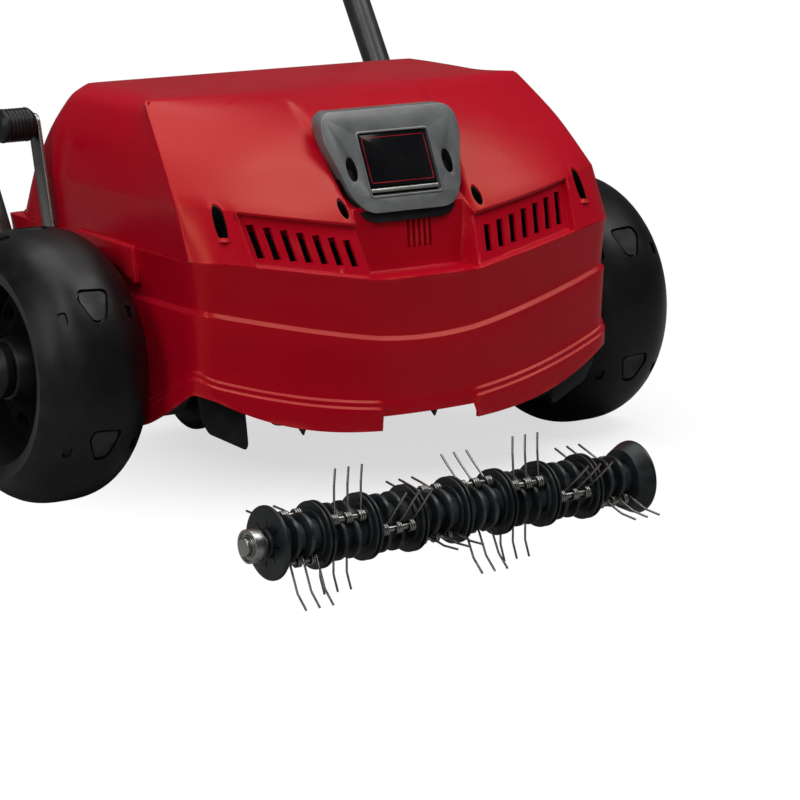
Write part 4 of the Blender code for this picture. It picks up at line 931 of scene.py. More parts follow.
def build_hood():
    hood = mesh_object("hood_skin", hood_shell())
    smooth_cage(hood)
    round_edges(hood, 0.0009, 2, 40.0)
    skin = BVHTree.FromPolygons([v.co for v in hood.data.vertices], [p.vertices for p in hood.data.polygons])
    wells = hood_wells(skin)
    build_wells(skin, wells)
    thicken(hood, 0.0026)
    bm = bmesh.new()
    add_vent_cutters(bm)
    for x, y, z, across, deep, tall in wells:
        ring = oval(x, y, across, deep)
        add_column(bm, [level_ring(ring, z - tall - 0.0010), level_ring(ring, z + tall + 0.010)])
    cut(hood, bm, crossing=True)
    piece("hood_skin", reopened(hood), "red_plastic", "chassis", ("motor_hood",), 32.0)


# Surround and name plate, in the surround's face

TRIM_HALF = ((0.0, 0.209), (0.031, 0.209), (0.038, 0.211), (0.044, 0.2165), (0.049, 0.224), (0.053, 0.239),
             (0.06, 0.26), (0.059, 0.274), (0.052, 0.28), (0.0, 0.28))
# Lip under the surround, black where the surround is grey: painted shade beneath the surround's face
LIP_SHADE_HALF = ((0.0, 0.2015), (0.03, 0.2015), (0.038, 0.2045), (0.0445, 0.2115), (0.049, 0.222),
             (0.0525, 0.238), (0.058, 0.26), (0.0, 0.26))
PLATE_HALF = 0.0300
PLATE_LOW = 0.2215
PLATE_HIGH = 0.2630
PLATE_DEPTH = 0.0012
PLATE_BACK = 0.0045
STRIP_TOP = PLATE_LOW + 0.0042
GLASS_LOW = PLATE_LOW + 0.0048


def both_halves(half):
    return list(half) + [(-x, z) for x, z in reversed(half[1:-1])]


def plate_outline(grow, low=PLATE_LOW, high=PLATE_HIGH, corner=0.0026):
    """Rounded rectangle on the surround's face, grown by a margin."""
    x, z0, z1 = PLATE_HALF + grow, low - grow, high + grow
    return filleted([(-x, z0), (x, z0), (x, z1), (-x, z1)], corner, 4)


def face_slab(outline, near, far):
    """A slab along the surround's slope between two depths behind its face."""
    bm = bmesh.new()
    add_slab(bm, [on_trim(x, z, near) for x, z in outline], Vector((0.0, far - near, 0.0)))
    return bm


def face_ring(outer, inner, near, far):
    """A frame between two outlines with as many points, between two depths behind the face."""
    bm = bmesh.new()
    loops = [[bm.verts.new(on_trim(x, z, behind)) for x, z in outline]
             for outline, behind in ((outer, far), (outer, near), (inner, near), (inner, far))]
    for a, b in zip(loops, loops[1:] + loops[:1]):
        strip(bm, a, b)
    return bm


def build_trim():
    trim = mesh_object("trim_skin", face_slab(filleted(both_halves(TRIM_HALF), 0.006, 4), 0.0, TRIM_THICK))
    bm = face_slab(plate_outline(0.0008), -0.004, 0.0046)
    for side, _ in SIDES:
        x, y, _ = on_trim(side * TRIM_WELL_X, TRIM_WELL_Z)
        ring = oval(x, y, TRIM_WELL_RADIUS, TRIM_WELL_RADIUS)
        add_column(bm, [level_ring(ring, TRIM_WELL_Z - 0.010), level_ring(ring, TRIM_WELL_Z + 0.020)])
    cut(trim, bm)
    round_edges(trim, 0.0011, 3, 38.0)
    piece("trim_skin", reopened(trim), "trim_plastic", "chassis", ("hood_trim",), 32.0)
    # The lip under the surround is black: painted shade beneath its face
    chin = face_slab(filleted(both_halves(LIP_SHADE_HALF), 0.005, 4), 0.0042, TRIM_THICK)
    rounded_piece("trim_underside_shade", chin, "black_plastic", 0.0012, 3, 38.0)
    bezel = face_ring(plate_outline(0.0022, corner=0.0036), plate_outline(0.0008), -0.0007, 0.0010)
    rounded_piece("plate_bezel", bezel, "trim_plastic", 0.0003, 2, 38.0)


def build_plate():
    rounded_piece("badge_plate", face_slab(plate_outline(-0.0003, GLASS_LOW), PLATE_DEPTH, PLATE_BACK),
                  "plate_gloss", 0.0004, 2, 35.0, ("name_plate",))
    strip_outline = plate_outline(-0.0004, PLATE_LOW + 0.0008, STRIP_TOP, 0.0008)
    rounded_piece("badge_strip", face_slab(strip_outline, 0.0006, PLATE_BACK), "blade_steel", 0.0003, 2, 35.0)
    outer = plate_outline(-0.0027, GLASS_LOW, corner=0.0012)
    inner = plate_outline(-0.0030, GLASS_LOW, corner=0.0011)
    piece("badge_border", face_ring(outer, inner, PLATE_DEPTH - 0.0002, PLATE_DEPTH + 0.0004), "red_plastic")


# Behind the vents, over the wheels and under the skirt

BAFFLE = ((0.054, 0.1625), (0.156, 0.1625), (0.156, 0.213), (0.14, 0.218), (0.054, 0.202))
ARCH_FLARE = ((0.034, 0.1905), (-0.046, 0.1885), (-0.0495, 0.162), (-0.027, 0.1705), (-0.005, 0.1748),
              (0.022, 0.1778), (0.034, 0.178))
FLARE_STEPS = ((-0.002, 0.0), (0.0006, 0.0), (0.0026, 0.0016))
FLARE_TOP_Z = 0.184
FIN_Y = -0.120
FIN_PLATE = ((0.178, 0.104), (0.14, 0.096), (0.1355, 0.05), (0.1375, 0.0462), (0.167, 0.0615),
             (0.1745, 0.074))


def build_inner_pieces():
    """The tray over the blade chamber, and the dark baffles and red ribs behind the vent slots."""
    bm = bmesh.new()
    add_block(bm, (-0.166, -0.124, 0.1590), (0.166, 0.134, 0.1612))
    rounded_piece("motor_tray", bm, "black_plastic", 0.0005)
    bm = bmesh.new()
    for side, _ in SIDES:
        add_y_slab(bm, BAFFLE, -0.108, 0.0022, side)
    add_block(bm, (-0.012, -0.116, 0.1625), (0.030, -0.1138, 0.2080))
    rounded_piece("vent_baffles", bm, "black_plastic", 0.0005)
    bm = bmesh.new()
    (x0, z0), (x1, z1) = VENT_HEADS
    ends = ((x0 - 0.004, -0.1280, z0), (x1 + 0.004, -0.1100, z1))
    for side, _ in SIDES:
        outline = [Vector((side * x, y + rise * 0.6, z + rise))
                   for rise, pair in ((-0.0046, ends), (0.0030, ends[::-1])) for x, y, z in pair]
        add_slab(bm, outline, Vector((0.0, 0.0016, 0.0)))
    piece("vent_ribs", bm, "red_plastic")


def build_arch_flares():
    """Raised facets over the front wheels, with a bright bevel along their top."""
    bm = bmesh.new()
    for side, _ in SIDES:
        outline = filleted(ARCH_FLARE, 0.0012, 3)
        add_column(bm, [[(side * (SIDE_X + out), y, z - drop * (z > FLARE_TOP_Z)) for y, z in outline]
                        for out, drop in FLARE_STEPS])
    rounded_piece("arch_flares", bm, "red_plastic", 0.0004, 2, 25.0)


def build_skirt_fins():
    """Black fins behind the skirt's front corners, and the screw bosses beside them."""
    fins, bosses = bmesh.new(), bmesh.new()
    for side, _ in SIDES:
        add_y_slab(fins, filleted(FIN_PLATE, 0.0022, 4), FIN_Y, 0.0036, side)
        place = Matrix.Translation((side * 0.114, -0.1275, 0.0)) @ UPRIGHT
        add_turned(bosses, at(0.0, (63.5, 0), (63.5, 4), (65, 6.5), (90, 7), (90, 0)), 32, place, 0.001)
    rounded_piece("skirt_fins", fins, "black_plastic", 0.0010, 3)
    piece("skirt_bosses", bosses, "black_plastic")


# Wheels

WHEEL_RADIUS = WHEEL_HIGH.z - AXLE_Z
WHEEL_WIDTH = WHEEL_HIGH.x - WHEEL_LOW.x
WHEEL_INNER_X = -WHEEL_HIGH.x
WHEEL_SHOULDER = 0.022
TREAD_STEPS = 28
WEB_X = 0.046
FIN_COUNT = 6
FIN_ANGLE = math.radians(34)
FIN_OUTLINE = ((0.35, 7.5), (0.62, 8.5), (0.655, 4.0), (0.56, -7.5), (0.44, -6.5))
FIN_DEPTH = 0.0028
NOTCH_DEPTH = 0.0024
ISLAND_TOP = -0.0009
ISLAND_FLOOR = -0.0034
ISLAND_GAP = 0.0024
CUT_ABOVE = 0.004
WINDOW_COUNT = 14
WINDOW_SHARE = 0.31
WINDOW_LOW = 0.0450
WINDOW_HIGH = 0.0580
WINDOW_CROWN = 0.0585
REAR_LOW, REAR_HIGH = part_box("rear_wheel_right")
REAR_CENTRE_Y = (REAR_LOW.y + REAR_HIGH.y) / 2 - AXLE_Y
REAR_CENTRE_Z = (REAR_LOW.z + REAR_HIGH.z) / 2


def tread_radius(share):
    return WHEEL_RADIUS - WHEEL_SHOULDER * abs(2 * share - 1) ** 3


def wheel_profile():
    tread = [(WHEEL_WIDTH * k / TREAD_STEPS, tread_radius(k / TREAD_STEPS)) for k in range(TREAD_STEPS + 1)]
    outer = at(WHEEL_WIDTH, (-1, 73.5), (-3, 68), (-6, 65.5), (-20, 62.5))
    return tread + outer + at(WEB_X, (6, 60), (-6, 60)) + at(0.0, (18, 62.5), (6, 65.5), (3, 68), (1, 73.5))


def web_profile():
    """Wheel disc with the hub and a step under the windows."""
    return (at(WEB_X, (-3, 61), (-3, 42), (-6, 34)) + at(0.0, (20, 26), (4.5, 22), (4.5, 7))
            + at(WHEEL_WIDTH, (-12.5, 7), (-12.5, 22)) + at(WEB_X, (12, 27), (6, 34), (3, 42), (3, 61)))


def tread_patch(bm, side, centre, outline, top, floor, shrink=0.0):
    """A block on the tread between two depths, from an outline of (share across, degrees)."""
    flat = [Vector((WHEEL_WIDTH * s, WHEEL_RADIUS * math.radians(a))) for s, a in outline]
    middle = sum(flat, Vector((0.0, 0.0))) / len(flat)
    if shrink:
        flat = [point + (middle - point).normalized() * shrink for point in flat]
    rings = [[], []]
    flat = filleted_low(flat, 0.006, 5)
    for ring, depth in zip(rings, (top, floor)):
        for p in flat:
            angle = centre + p.y / WHEEL_RADIUS
            r = tread_radius(p.x / WHEEL_WIDTH) + depth
            ring.append(bm.verts.new((side * (WHEEL_INNER_X + p.x), -r * math.cos(angle),
                                      AXLE_Z + r * math.sin(angle))))
    a, b = rings
    mid = [bm.verts.new(sum((v.co for v in ring), Vector()) / len(ring)) for ring in rings]
    for i in range(len(a)):
        j = (i + 1) % len(a)
        bm.faces.new((a[i], a[j], b[j], b[i]))
        bm.faces.new((a[j], a[i], mid[0]))
        bm.faces.new((b[i], b[j], mid[1]))


def notch_outline(share):
    return ((share - 0.035, 3.0), (share + 0.035, 3.0), (share + 0.030, -3.0), (share - 0.030, -3.0))


def wheel_tyre(side, place):
    """The tyre with its sunk marks, and the raised island in each large mark."""
    bm = bmesh.new()
    add_turned(bm, wheel_profile(), 144, place)
    tyre = mesh_object("tyre", bm)
    cutter, islands = bmesh.new(), bmesh.new()
    for turn in full_turn(FIN_COUNT):
        angle = FIN_ANGLE + turn
        tread_patch(cutter, side, angle, FIN_OUTLINE, CUT_ABOVE, -FIN_DEPTH)
        tread_patch(islands, side, angle, FIN_OUTLINE, ISLAND_TOP, ISLAND_FLOOR, ISLAND_GAP)
        for share in (0.20, 0.80):
            tread_patch(cutter, side, angle - 0.05, notch_outline(share), CUT_ABOVE, -NOTCH_DEPTH)
    cut(tyre, cutter)
    return tyre, mesh_object("islands", islands)


def wheel_web(side, place):
    bm = bmesh.new()
    add_turned(bm, web_profile(), 96, place, 0.002)
    web = mesh_object("web", bm)
    cutter = bmesh.new()
    half = WINDOW_SHARE * 2 * math.pi / WINDOW_COUNT
    for k in range(WINDOW_COUNT):
        middle = 2 * math.pi * (k + 0.5) / WINDOW_COUNT
        corners = [(r * math.cos(a), r * math.sin(a)) for r, a in (
            (WINDOW_LOW, middle - half), (WINDOW_HIGH, middle - half), (WINDOW_CROWN, middle),
            (WINDOW_HIGH, middle + half), (WINDOW_LOW, middle + half))]
        outline = [(p.x, AXLE_Z + p.y) for p in filleted_low(corners, 0.003)]
        add_x_slab(cutter, outline, side * (WHEEL_INNER_X + WEB_X - 0.02), side * 0.04)
    cut(web, cutter)
    return web


def build_wheel(side, word):
    body = "front_wheel_" + word
    place = Matrix.Translation((side * WHEEL_INNER_X, 0.0, AXLE_Z)) @ Matrix.Diagonal((side, 1.0, 1.0, 1.0))
    tyre, islands = wheel_tyre(side, place)
    web = wheel_web(side, place)
    piece("tyre_" + word, reopened(tyre, web, islands), "black_plastic", body, ("wheel_" + word,), 28.0)
    cap = at(WHEEL_WIDTH - 0.0122, (0, 0), (0, 20.5), (7, 20.5), (12.5, 15.5), (12.5, 11), (10.5, 9.5),
             (10.5, 0))
    turned_piece("cap_" + word, cap, 64, "black_plastic", body, place, "hub_cap_" + word, 0.0012)


def build_rear_wheel(side, word):
    r = REAR_HIGH.z - REAR_CENTRE_Z
    width = REAR_HIGH.x - REAR_LOW.x
    place = (Matrix.Translation((side * REAR_LOW.x, REAR_CENTRE_Y, REAR_CENTRE_Z))
             @ Matrix.Diagonal((side, 1.0, 1.0, 1.0)))
    half = [(0.0, 0.0048), (0.0, r - 0.016), (0.0045, r - 0.014), (0.0045, r - 0.007), (0.0, r - 0.006),
            (0.0, r - 0.002), (0.003, r)]
    grooves = []
    for k in range(4):
        x = 0.0055 + 0.0045 * k
        grooves += [(x, r), (x + 0.0006, r - 0.0014), (x + 0.0016, r - 0.0014), (x + 0.0022, r)]
    turned_piece("roller_wheel_" + word, half + grooves + flipped(half, width), 72, "black_plastic",
                 "back_wheel_" + word, place, "rear_wheel_" + word, 0.0004)


# Blade roller

SHAFT_LOW, SHAFT_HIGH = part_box("roller_shaft")
ROLLER_Y = (SHAFT_LOW.y + SHAFT_HIGH.y) / 2 - AXLE_Y
ROLLER_Z = (SHAFT_LOW.z + SHAFT_HIGH.z) / 2
SHAFT_RADIUS = SHAFT_HIGH.z - ROLLER_Z
BLADE_UNITS = 5
BLADE_ROOT = 0.0150
BLADE_ROWS = 14
BLADE_COLUMNS = 8
HUB_HALF = 0.0118
SPIKE = dict(reach=0.0608, width=0.029, lean=0.01, curl=0.004, twist=(12.0, 26.0), taper=0.85)
LOBE = dict(reach=0.048, width=0.033, lean=-0.0165, curl=-0.006, twist=(-38.0, -62.0), taper=0.30)


def blade_half_width(shape, t):
    narrowing = max(1 - t ** 2.4, 0.0) ** shape["taper"]
    belly = 0.80 + 0.20 * math.sin(math.pi * min(t * 1.6, 1.0))
    return max(shape["width"] / 2 * narrowing * belly, 0.0006)


def add_arm(bm, turn, shape, centre_x):
    """One bent blade of a unit: a plate that tapers, leans along the shaft and twists."""
    out = Vector((0.0, -math.sin(turn), math.cos(turn)))
    tangent = Vector((0.0, math.cos(turn), math.sin(turn)))
    along = Vector((1.0, 0.0, 0.0))
    faces = ([], [])
    for i in range(BLADE_ROWS + 1):
        t = i / BLADE_ROWS
        half = blade_half_width(shape, t)
        centre = (out * lerp(BLADE_ROOT, shape["reach"], t) + along * (centre_x + shape["lean"] * t * t)
                  + tangent * shape["curl"] * math.sin(math.pi * t))
        angle = math.radians(lerp(*shape["twist"], t))
        chord = tangent * math.cos(angle) + along * math.sin(angle)
        normal = chord.cross(out).normalized()
        thick = lerp(0.0013, 0.0007, t)
        for sign, rows in zip((1, -1), faces):
            row = []
            for j in range(BLADE_COLUMNS + 1):
                u = 2 * j / BLADE_COLUMNS - 1
                edge = math.sqrt(max(1 - u ** 6, 0.0))
                row.append(bm.verts.new(centre + chord * (u * half) + normal * (sign * thick * edge)))
            rows.append(row)
    ends = [(faces[0][0], faces[1][0]), (faces[0][-1], faces[1][-1])]
    for a, b in [pair for rows in faces for pair in zip(rows, rows[1:])] + ends:
        strip(bm, a, b, closed=False)


def build_blade_unit(k, place):
    low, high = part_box("blade_unit_%d" % k)
    x = (low.x + high.x) / 2
    r = SHAFT_RADIUS
    bm = bmesh.new()
    for side, _ in SIDES:
        near, far = x + side * (HUB_HALF - 0.0045), x + side * HUB_HALF
        add_turned(bm, [(near, r), (near, r + 0.0052), (far, r + 0.0052), (far, r)], 48, fillet=0.0008)
    near, far = x - HUB_HALF, x + HUB_HALF
    add_turned(bm, [(near, r), (near, r + 0.0022), (far, r + 0.0022), (far, r)], 48)
    for turn, shape in ((0.0, SPIKE), (math.pi, SPIKE), (math.pi / 2, LOBE), (-math.pi / 2, LOBE)):
        add_arm(bm, turn, shape, x)
    bmesh.ops.transform(bm, matrix=place, verts=bm.verts)
    piece("blades_%d" % k, bm, "blade_steel", "blade_roller", ("blade_unit_%d" % k,), 40.0)


def build_blade_roller():
    place = Matrix.Translation((0.0, ROLLER_Y, ROLLER_Z))
    r = SHAFT_RADIUS
    half = [(SHAFT_LOW.x, 0.0), (SHAFT_LOW.x, r)]
    turned_piece("bright_shaft", half + flipped(half, SHAFT_LOW.x + SHAFT_HIGH.x), 48, "bright_steel",
                 "blade_roller", place, "roller_shaft", 0.001)
    for k in range(1, BLADE_UNITS + 1):
        build_blade_unit(k, place)
    low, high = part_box("roller_end_disc")
    rim = high.z - ROLLER_Z
    disc = [(low.x, r), (low.x, rim - 0.006), (low.x + 0.001, rim), (high.x, rim), (high.x, r + 0.006),
            (high.x + 0.003, r + 0.005), (high.x + 0.003, r)]
    turned_piece("end_disc", disc, 72, "black_plastic", "blade_roller", place, "roller_end_disc")


# Aerator roller

AERATOR_CENTRE = (-0.1160, -0.3425)
AERATOR_YAW = math.radians(1.8)
AERATOR_GROUPS = 8
AERATOR_PITCH = 0.0370
AERATOR_Z = (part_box("aerator_shaft")[0].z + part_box("aerator_shaft")[1].z) / 2
AERATOR_PLACE = Matrix.Translation((*AERATOR_CENTRE, AERATOR_Z)) @ Matrix.Rotation(AERATOR_YAW, 4, "Z")
AERATOR_START = -AERATOR_GROUPS * AERATOR_PITCH / 2
DIVIDER_RADIUS = 0.0225
DIVIDER_WIDTH = 0.0052
BAY = (AERATOR_PITCH - DIVIDER_WIDTH) / 3
ROD_OFFSET = 0.0155
ROD_RADIUS = 0.0020
WIRE_RADIUS = 0.0008
TINE_LEG = 0.0330
TINE_TURNS = 2.75
TURN_STEPS = 14
# Degrees from the top, for each group: its first rod, and the legs of its two rods
ROD_ANGLES = (148, 46, 92, 155, 5, 41, 90, 135)
FIRST_LEGS = (155, 0, 41, 100, -54, -5, 50, 108)
SECOND_LEGS = (275, 180, 223, 280, 152, 180, 230, 288)
# Stations of (distance from the middle, radius, radius towards the rods)
RIB_STATIONS = ((-0.0019, 0.0126, 0.0106), (-0.0015, 0.0190, 0.0140), (-0.0012, 0.0198, 0.0146),
                (0.0012, 0.0198, 0.0146), (0.0015, 0.0190, 0.0140), (0.0019, 0.0126, 0.0106))
BARREL_STATIONS = ((0.0010, 0.0130, 0.0110), (AERATOR_PITCH + 0.0010, 0.0130, 0.0110))


def add_lobed(bm, x, stations, turn):
    """Skin through rings whose radius shrinks on the two sides that face the rods."""
    rings = []
    for dx, wide, narrow in stations:
        ring = []
        for angle in full_turn(56):
            radius = lerp(narrow, wide, abs(math.sin(angle)) ** 1.3)
            ring.append(AERATOR_PLACE @ Vector((x + dx, -radius * math.sin(turn + angle),
                                                radius * math.cos(turn + angle))))
        rings.append(ring)
    add_column(bm, rings)


def divider_profile(x):
    half = DIVIDER_WIDTH / 2
    side = [(-half, 0.010), (-half - 0.0012, 0.0165), (-half, 0.0175), (-half, DIVIDER_RADIUS),
            (-0.0010, DIVIDER_RADIUS), (-0.0010, DIVIDER_RADIUS - 0.0028)]
    return [(x + dx, r) for dx, r in side + flipped(side)]


def build_aerator_core():
    bm = bmesh.new()
    for group, degrees in enumerate(ROD_ANGLES):
        turn = math.radians(degrees)
        start = AERATOR_START + group * AERATOR_PITCH
        add_lobed(bm, start, BARREL_STATIONS, turn)
        for k in (1, 2):
            add_lobed(bm, start + DIVIDER_WIDTH / 2 + BAY * k, RIB_STATIONS, turn)
        if group:
            add_turned(bm, divider_profile(start), 64, AERATOR_PLACE, 0.0005)
    disc = at(AERATOR_START, (0, 6.2), (0, 23.8), (0.6, 24.5), (2.2, 24.5), (2.8, 23.8), (2.8, 16), (4.5, 14),
              (4.5, 6.2))
    add_turned(bm, disc, 72, AERATOR_PLACE, 0.0004)
    flange = at(AERATOR_START, (-3, 6.2), (-3, 9.2), (-2.2, 10), (0, 10), (0, 6.2))
    add_turned(bm, flange, 64, AERATOR_PLACE, 0.0004)
    cup = at(-AERATOR_START, (-2.2, 6.2), (-2.2, 20.5), (7.5, 25), (9.5, 25.4), (10, 24.6), (9.5, 23.2),
             (7.5, 22.6), (2, 18.5), (2, 11), (6, 10), (6, 6.2))
    add_turned(bm, cup, 72, AERATOR_PLACE, 0.0004)
    piece("spool", bm, "slate_plastic", "aerator", ("aerator_core",), 36.0)


def tine_points(x):
    """Wire of one tine in its rod's frame: turns round the rod, a leg and a bent tip."""
    wind = ROD_RADIUS + 0.0004 + WIRE_RADIUS
    pitch = 2.1 * WIRE_RADIUS
    points = []
    for k in range(int(TINE_TURNS * TURN_STEPS) + 1):
        angle = 2 * math.pi * k / TURN_STEPS
        points.append(Vector((x - pitch * TINE_TURNS / 2 + pitch * k / TURN_STEPS, -wind * math.sin(angle),
                              wind * math.cos(angle))))
    leg = points[-1]
    for along, aside, height in ((0.0, 0.0, TINE_LEG * 0.25), (0.0, 0.0, TINE_LEG - 0.0125),
                                 (0.0003, 0.0003, TINE_LEG - 0.0105), (0.0022, 0.0018, TINE_LEG - 0.0004)):
        points.append(Vector((leg.x + along, leg.y + aside, height)))
    return points


def build_tine_set(group, row, turn, leg):
    """A rod with three springs whose legs have swung round it."""
    swing = Matrix.Rotation(leg - turn, 4, "X")
    seat = AERATOR_PLACE @ Matrix.Rotation(turn, 4, "X") @ Matrix.Translation((0.0, 0.0, ROD_OFFSET))
    start = AERATOR_START + group * AERATOR_PITCH
    low, high = start + DIVIDER_WIDTH / 2 - 0.0006, start + AERATOR_PITCH - DIVIDER_WIDTH / 2 + 0.0006
    bm = bmesh.new()
    add_turned(bm, [(low, 0.0), (low, ROD_RADIUS), (high, ROD_RADIUS), (high, 0.0)], 24, fillet=0.0003)
    for k in range(3):
        x = start + DIVIDER_WIDTH / 2 + BAY * (k + 0.5)
        sweep(bm, [swing @ point for point in tine_points(x)], WIRE_RADIUS, 10)
    bmesh.ops.transform(bm, matrix=seat, verts=bm.verts)
    tail = "%d%s" % (group + 1, row)
    piece("tines_" + tail, bm, "tine_steel", "aerator", ("tine_set_" + tail,), 40.0)


def build_aerator():
    build_aerator_core()
    for group, angles in enumerate(zip(ROD_ANGLES, FIRST_LEGS, SECOND_LEGS)):
        rod, first, second = (math.radians(angle) for angle in angles)
        build_tine_set(group, "a", rod, first)
        build_tine_set(group, "b", rod + math.pi, second)
    tip = AERATOR_START - 0.018
    shaft = at(tip, (0, 0), (0, 6)) + at(AERATOR_START - 0.0042, (0, 6), (0, 5.4), (1, 5.4), (1, 6))
    turned_piece("spindle", shaft + at(-AERATOR_START + 0.008, (0, 6), (0, 0)), 48, "bright_steel", "aerator",
                 AERATOR_PLACE, "aerator_shaft")
    half = at(tip + 0.003, (0, 6.2), (0, 7.2), (1.2, 7.4), (1.2, 9.4), (0, 9.6), (0, 11.2))
    turned_piece("end_race", half + flipped(half, 2 * tip + 0.014), 56, "bright_steel", "aerator_end_bearing",
                 AERATOR_PLACE, "aerator_bearing", 0.0003)


# Front axle, flap and rear axle

CRANK_PIVOT = Vector((0.0, 0.062, 0.148))
CRANK_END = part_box("axle_crank")[1].x - 0.0001
ARM_IN = SIDE_X + 0.003
ARM_OUT = ARM_IN + 0.004
LEVER_TOP = (0.030, 0.114)
FLAP_HINGE = Vector((0.0, 0.158, 0.160))
FLAP_LOW, FLAP_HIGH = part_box("rear_flap")
FLAP_RIBS = 7


def capsule(end, radius):
    """Outline of two round ends joined by straight sides, in (y, z), from the crank's pivot to an end."""
    heading = math.atan2(end[1], end[0])
    out = []
    for y, z, start in ((*end, heading - math.pi / 2), (0.0, 0.0, heading + math.pi / 2)):
        for k in range(15):
            turn = start + math.pi * k / 14
            out.append((CRANK_PIVOT.y + y + radius * math.cos(turn),
                        CRANK_PIVOT.z + z + radius * math.sin(turn)))
    return out


def build_crank():
    """Cranked front axle with its depth lever and grip."""
    bm = bmesh.new()
    stub = (-CRANK_PIVOT.y, AXLE_Z - CRANK_PIVOT.z)
    for side, _ in SIDES:
        add_x_slab(bm, capsule(stub, 0.011), min(side * ARM_IN, side * ARM_OUT), ARM_OUT - ARM_IN)
    add_x_slab(bm, capsule(LEVER_TOP, 0.008), -ARM_OUT + 0.0005, 0.003)
    crank = mesh_object("front_crank", bm)
    round_edges(crank, 0.0008)
    bm = reopened(crank)
    add_rod(bm, -ARM_OUT + 0.001, ARM_OUT - 0.001, 0.006, Matrix.Translation(CRANK_PIVOT))
    hub = Matrix.Translation((0.0, 0.0, AXLE_Z))
    for side, _ in SIDES:
        add_rod(bm, side * (ARM_IN + 0.001), side * CRANK_END, 0.006, hub)
        washer = at(ARM_OUT, (0, 6.2), (0, 10), (1, 10), (1, 6.2))
        add_turned(bm, sided(side, washer), 40, hub, 0.0002)
    piece("front_crank", bm, "bright_steel", "depth_crank", ("axle_crank",))
    ridges = [(6 + 1.5 * k, 12.8 - 0.8 * (k % 2)) for k in range(13)]
    grip = at(ARM_OUT, (0.3, 0), (0.3, 9.5), (4, 12.6), *ridges, (26.5, 12.6), (30, 9), (30, 0))
    turned_piece("lever_grip", sided(-1, grip), 48, "black_plastic", "depth_crank",
                 Matrix.Translation(CRANK_PIVOT + Vector((0.0, *LEVER_TOP))), "depth_lever_grip", 0.0010)


def build_flap():
    """Ribbed rear flap hanging on its rod."""
    half, foot = FLAP_HIGH.x, FLAP_LOW.z
    _, y, top = FLAP_HINGE
    sheet = filleted([(-half, top), (-half, foot), (half, foot), (half, top)], 0.010, 6)
    bm = bmesh.new()
    add_y_slab(bm, sheet, y - 0.0015, 0.003)
    for k in range(FLAP_RIBS):
        x = lerp(-half + 0.020, half - 0.020, k / (FLAP_RIBS - 1))
        rib = [(x - 0.0022, top - 0.010), (x - 0.0016, foot + 0.012), (x + 0.0016, foot + 0.012),
               (x + 0.0022, top - 0.010)]
        add_y_slab(bm, filleted(rib, 0.001), y + 0.0010, 0.0022)
    add_block(bm, (-half + 0.008, y + 0.0010, foot + 0.004), (half - 0.008, y + 0.0030, foot + 0.0065))
    flap = mesh_object("flap_skin", bm)
    round_edges(flap, 0.0006)
    bm = reopened(flap)
    barrel = [(-half, 0.0036), (-half, 0.0060), (half, 0.0060), (half, 0.0036)]
    add_turned(bm, barrel, 32, Matrix.Translation(FLAP_HINGE), 0.0006)
    piece("flap_skin", bm, "black_plastic", "flap", ("rear_flap",))


def build_rear_rods():
    low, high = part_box("flap_rod")
    bm = bmesh.new()
    add_rod(bm, low.x, high.x, 0.003, Matrix.Translation(FLAP_HINGE))
    piece("flap_pin", bm, "bright_steel", "chassis", ("flap_rod",))
    low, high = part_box("rear_axle")
    place = Matrix.Translation((0.0, REAR_CENTRE_Y, REAR_CENTRE_Z))
    bm = bmesh.new()
    add_rod(bm, low.x, high.x, 0.004, place)
    for side, _ in SIDES:
        clip = at(high.x, (-2.2, 4.1), (-2.2, 6.2), (-1.4, 6.2), (-1.4, 4.1))
        add_turned(bm, sided(side, clip), 24, place)
    piece("rear_bar", bm, "bright_steel", "chassis", ("rear_axle",))


# Push handle

TUBE_RADIUS = 0.011
TUBE_X = SIDE_X + 0.0003 + TUBE_RADIUS
TUBE_FACE = TUBE_X + TUBE_RADIUS
BOW_X = TUBE_X - 2 * TUBE_RADIUS - 0.0003
BOW_TOP = 0.450
BOW_FOOT = -0.020
BOW_CORNER = 0.060
BAIL_UP = 0.365
BAIL_RADIUS = 0.004
BAIL_HALF = [(-0.168, 0.0, 0.0), (-0.150, 0.0, 0.0), (-0.150, -0.060, 0.085)]
FOOT_PLACE = Matrix.Translation((0.0, 0.128, 0.150)) @ Matrix.Rotation(-math.radians(32), 4, "X")
FOLD_PLACE = FOOT_PLACE @ Matrix.Translation((0.0, 0.0, 0.470))
HEAD_PLACE = FOLD_PLACE @ Matrix.Translation((0.0, 0.0, BOW_TOP))
BAIL_PLACE = FOLD_PLACE @ Matrix.Translation((0.0, 0.0, BAIL_UP))
KNOB_LOBES = 7
KNOB_SEGMENTS = 112
SWITCH_X = 0.050
SWITCH_HALF = Vector((0.046, 0.026, 0.030))
SWITCH_PLACE = HEAD_PLACE @ Matrix.Translation((SWITCH_X, 0.0, 0.0))
GRIP_RINGS = 38
GRIP_RADIUS = 0.0154
GRIP_END = 0.0015


def build_lower_tubes():
    for side, word in SIDES:
        bm = bmesh.new()
        place = FOOT_PLACE @ Matrix.Translation((side * TUBE_X, 0.0, 0.0)) @ UPRIGHT
        add_turned(bm, at(0.0, (-14, 9.5), (-14, 11), (500, 11), (500, 9.5)), 48, place, 0.0005)
        add_rod(bm, side * (SIDE_X - 0.0070), side * (TUBE_FACE + 0.001), 0.003, FOOT_PLACE)
        nut = at(TUBE_FACE, (-0.4, 0), (-0.4, 6.4), (1.2, 6.4), (3.4, 4.4), (4, 0))
        add_turned(bm, sided(side, nut), 32, FOOT_PLACE, 0.0006)
        piece("side_tube_" + word, bm, "tube_paint", "chassis", ("lower_tube_" + word,))


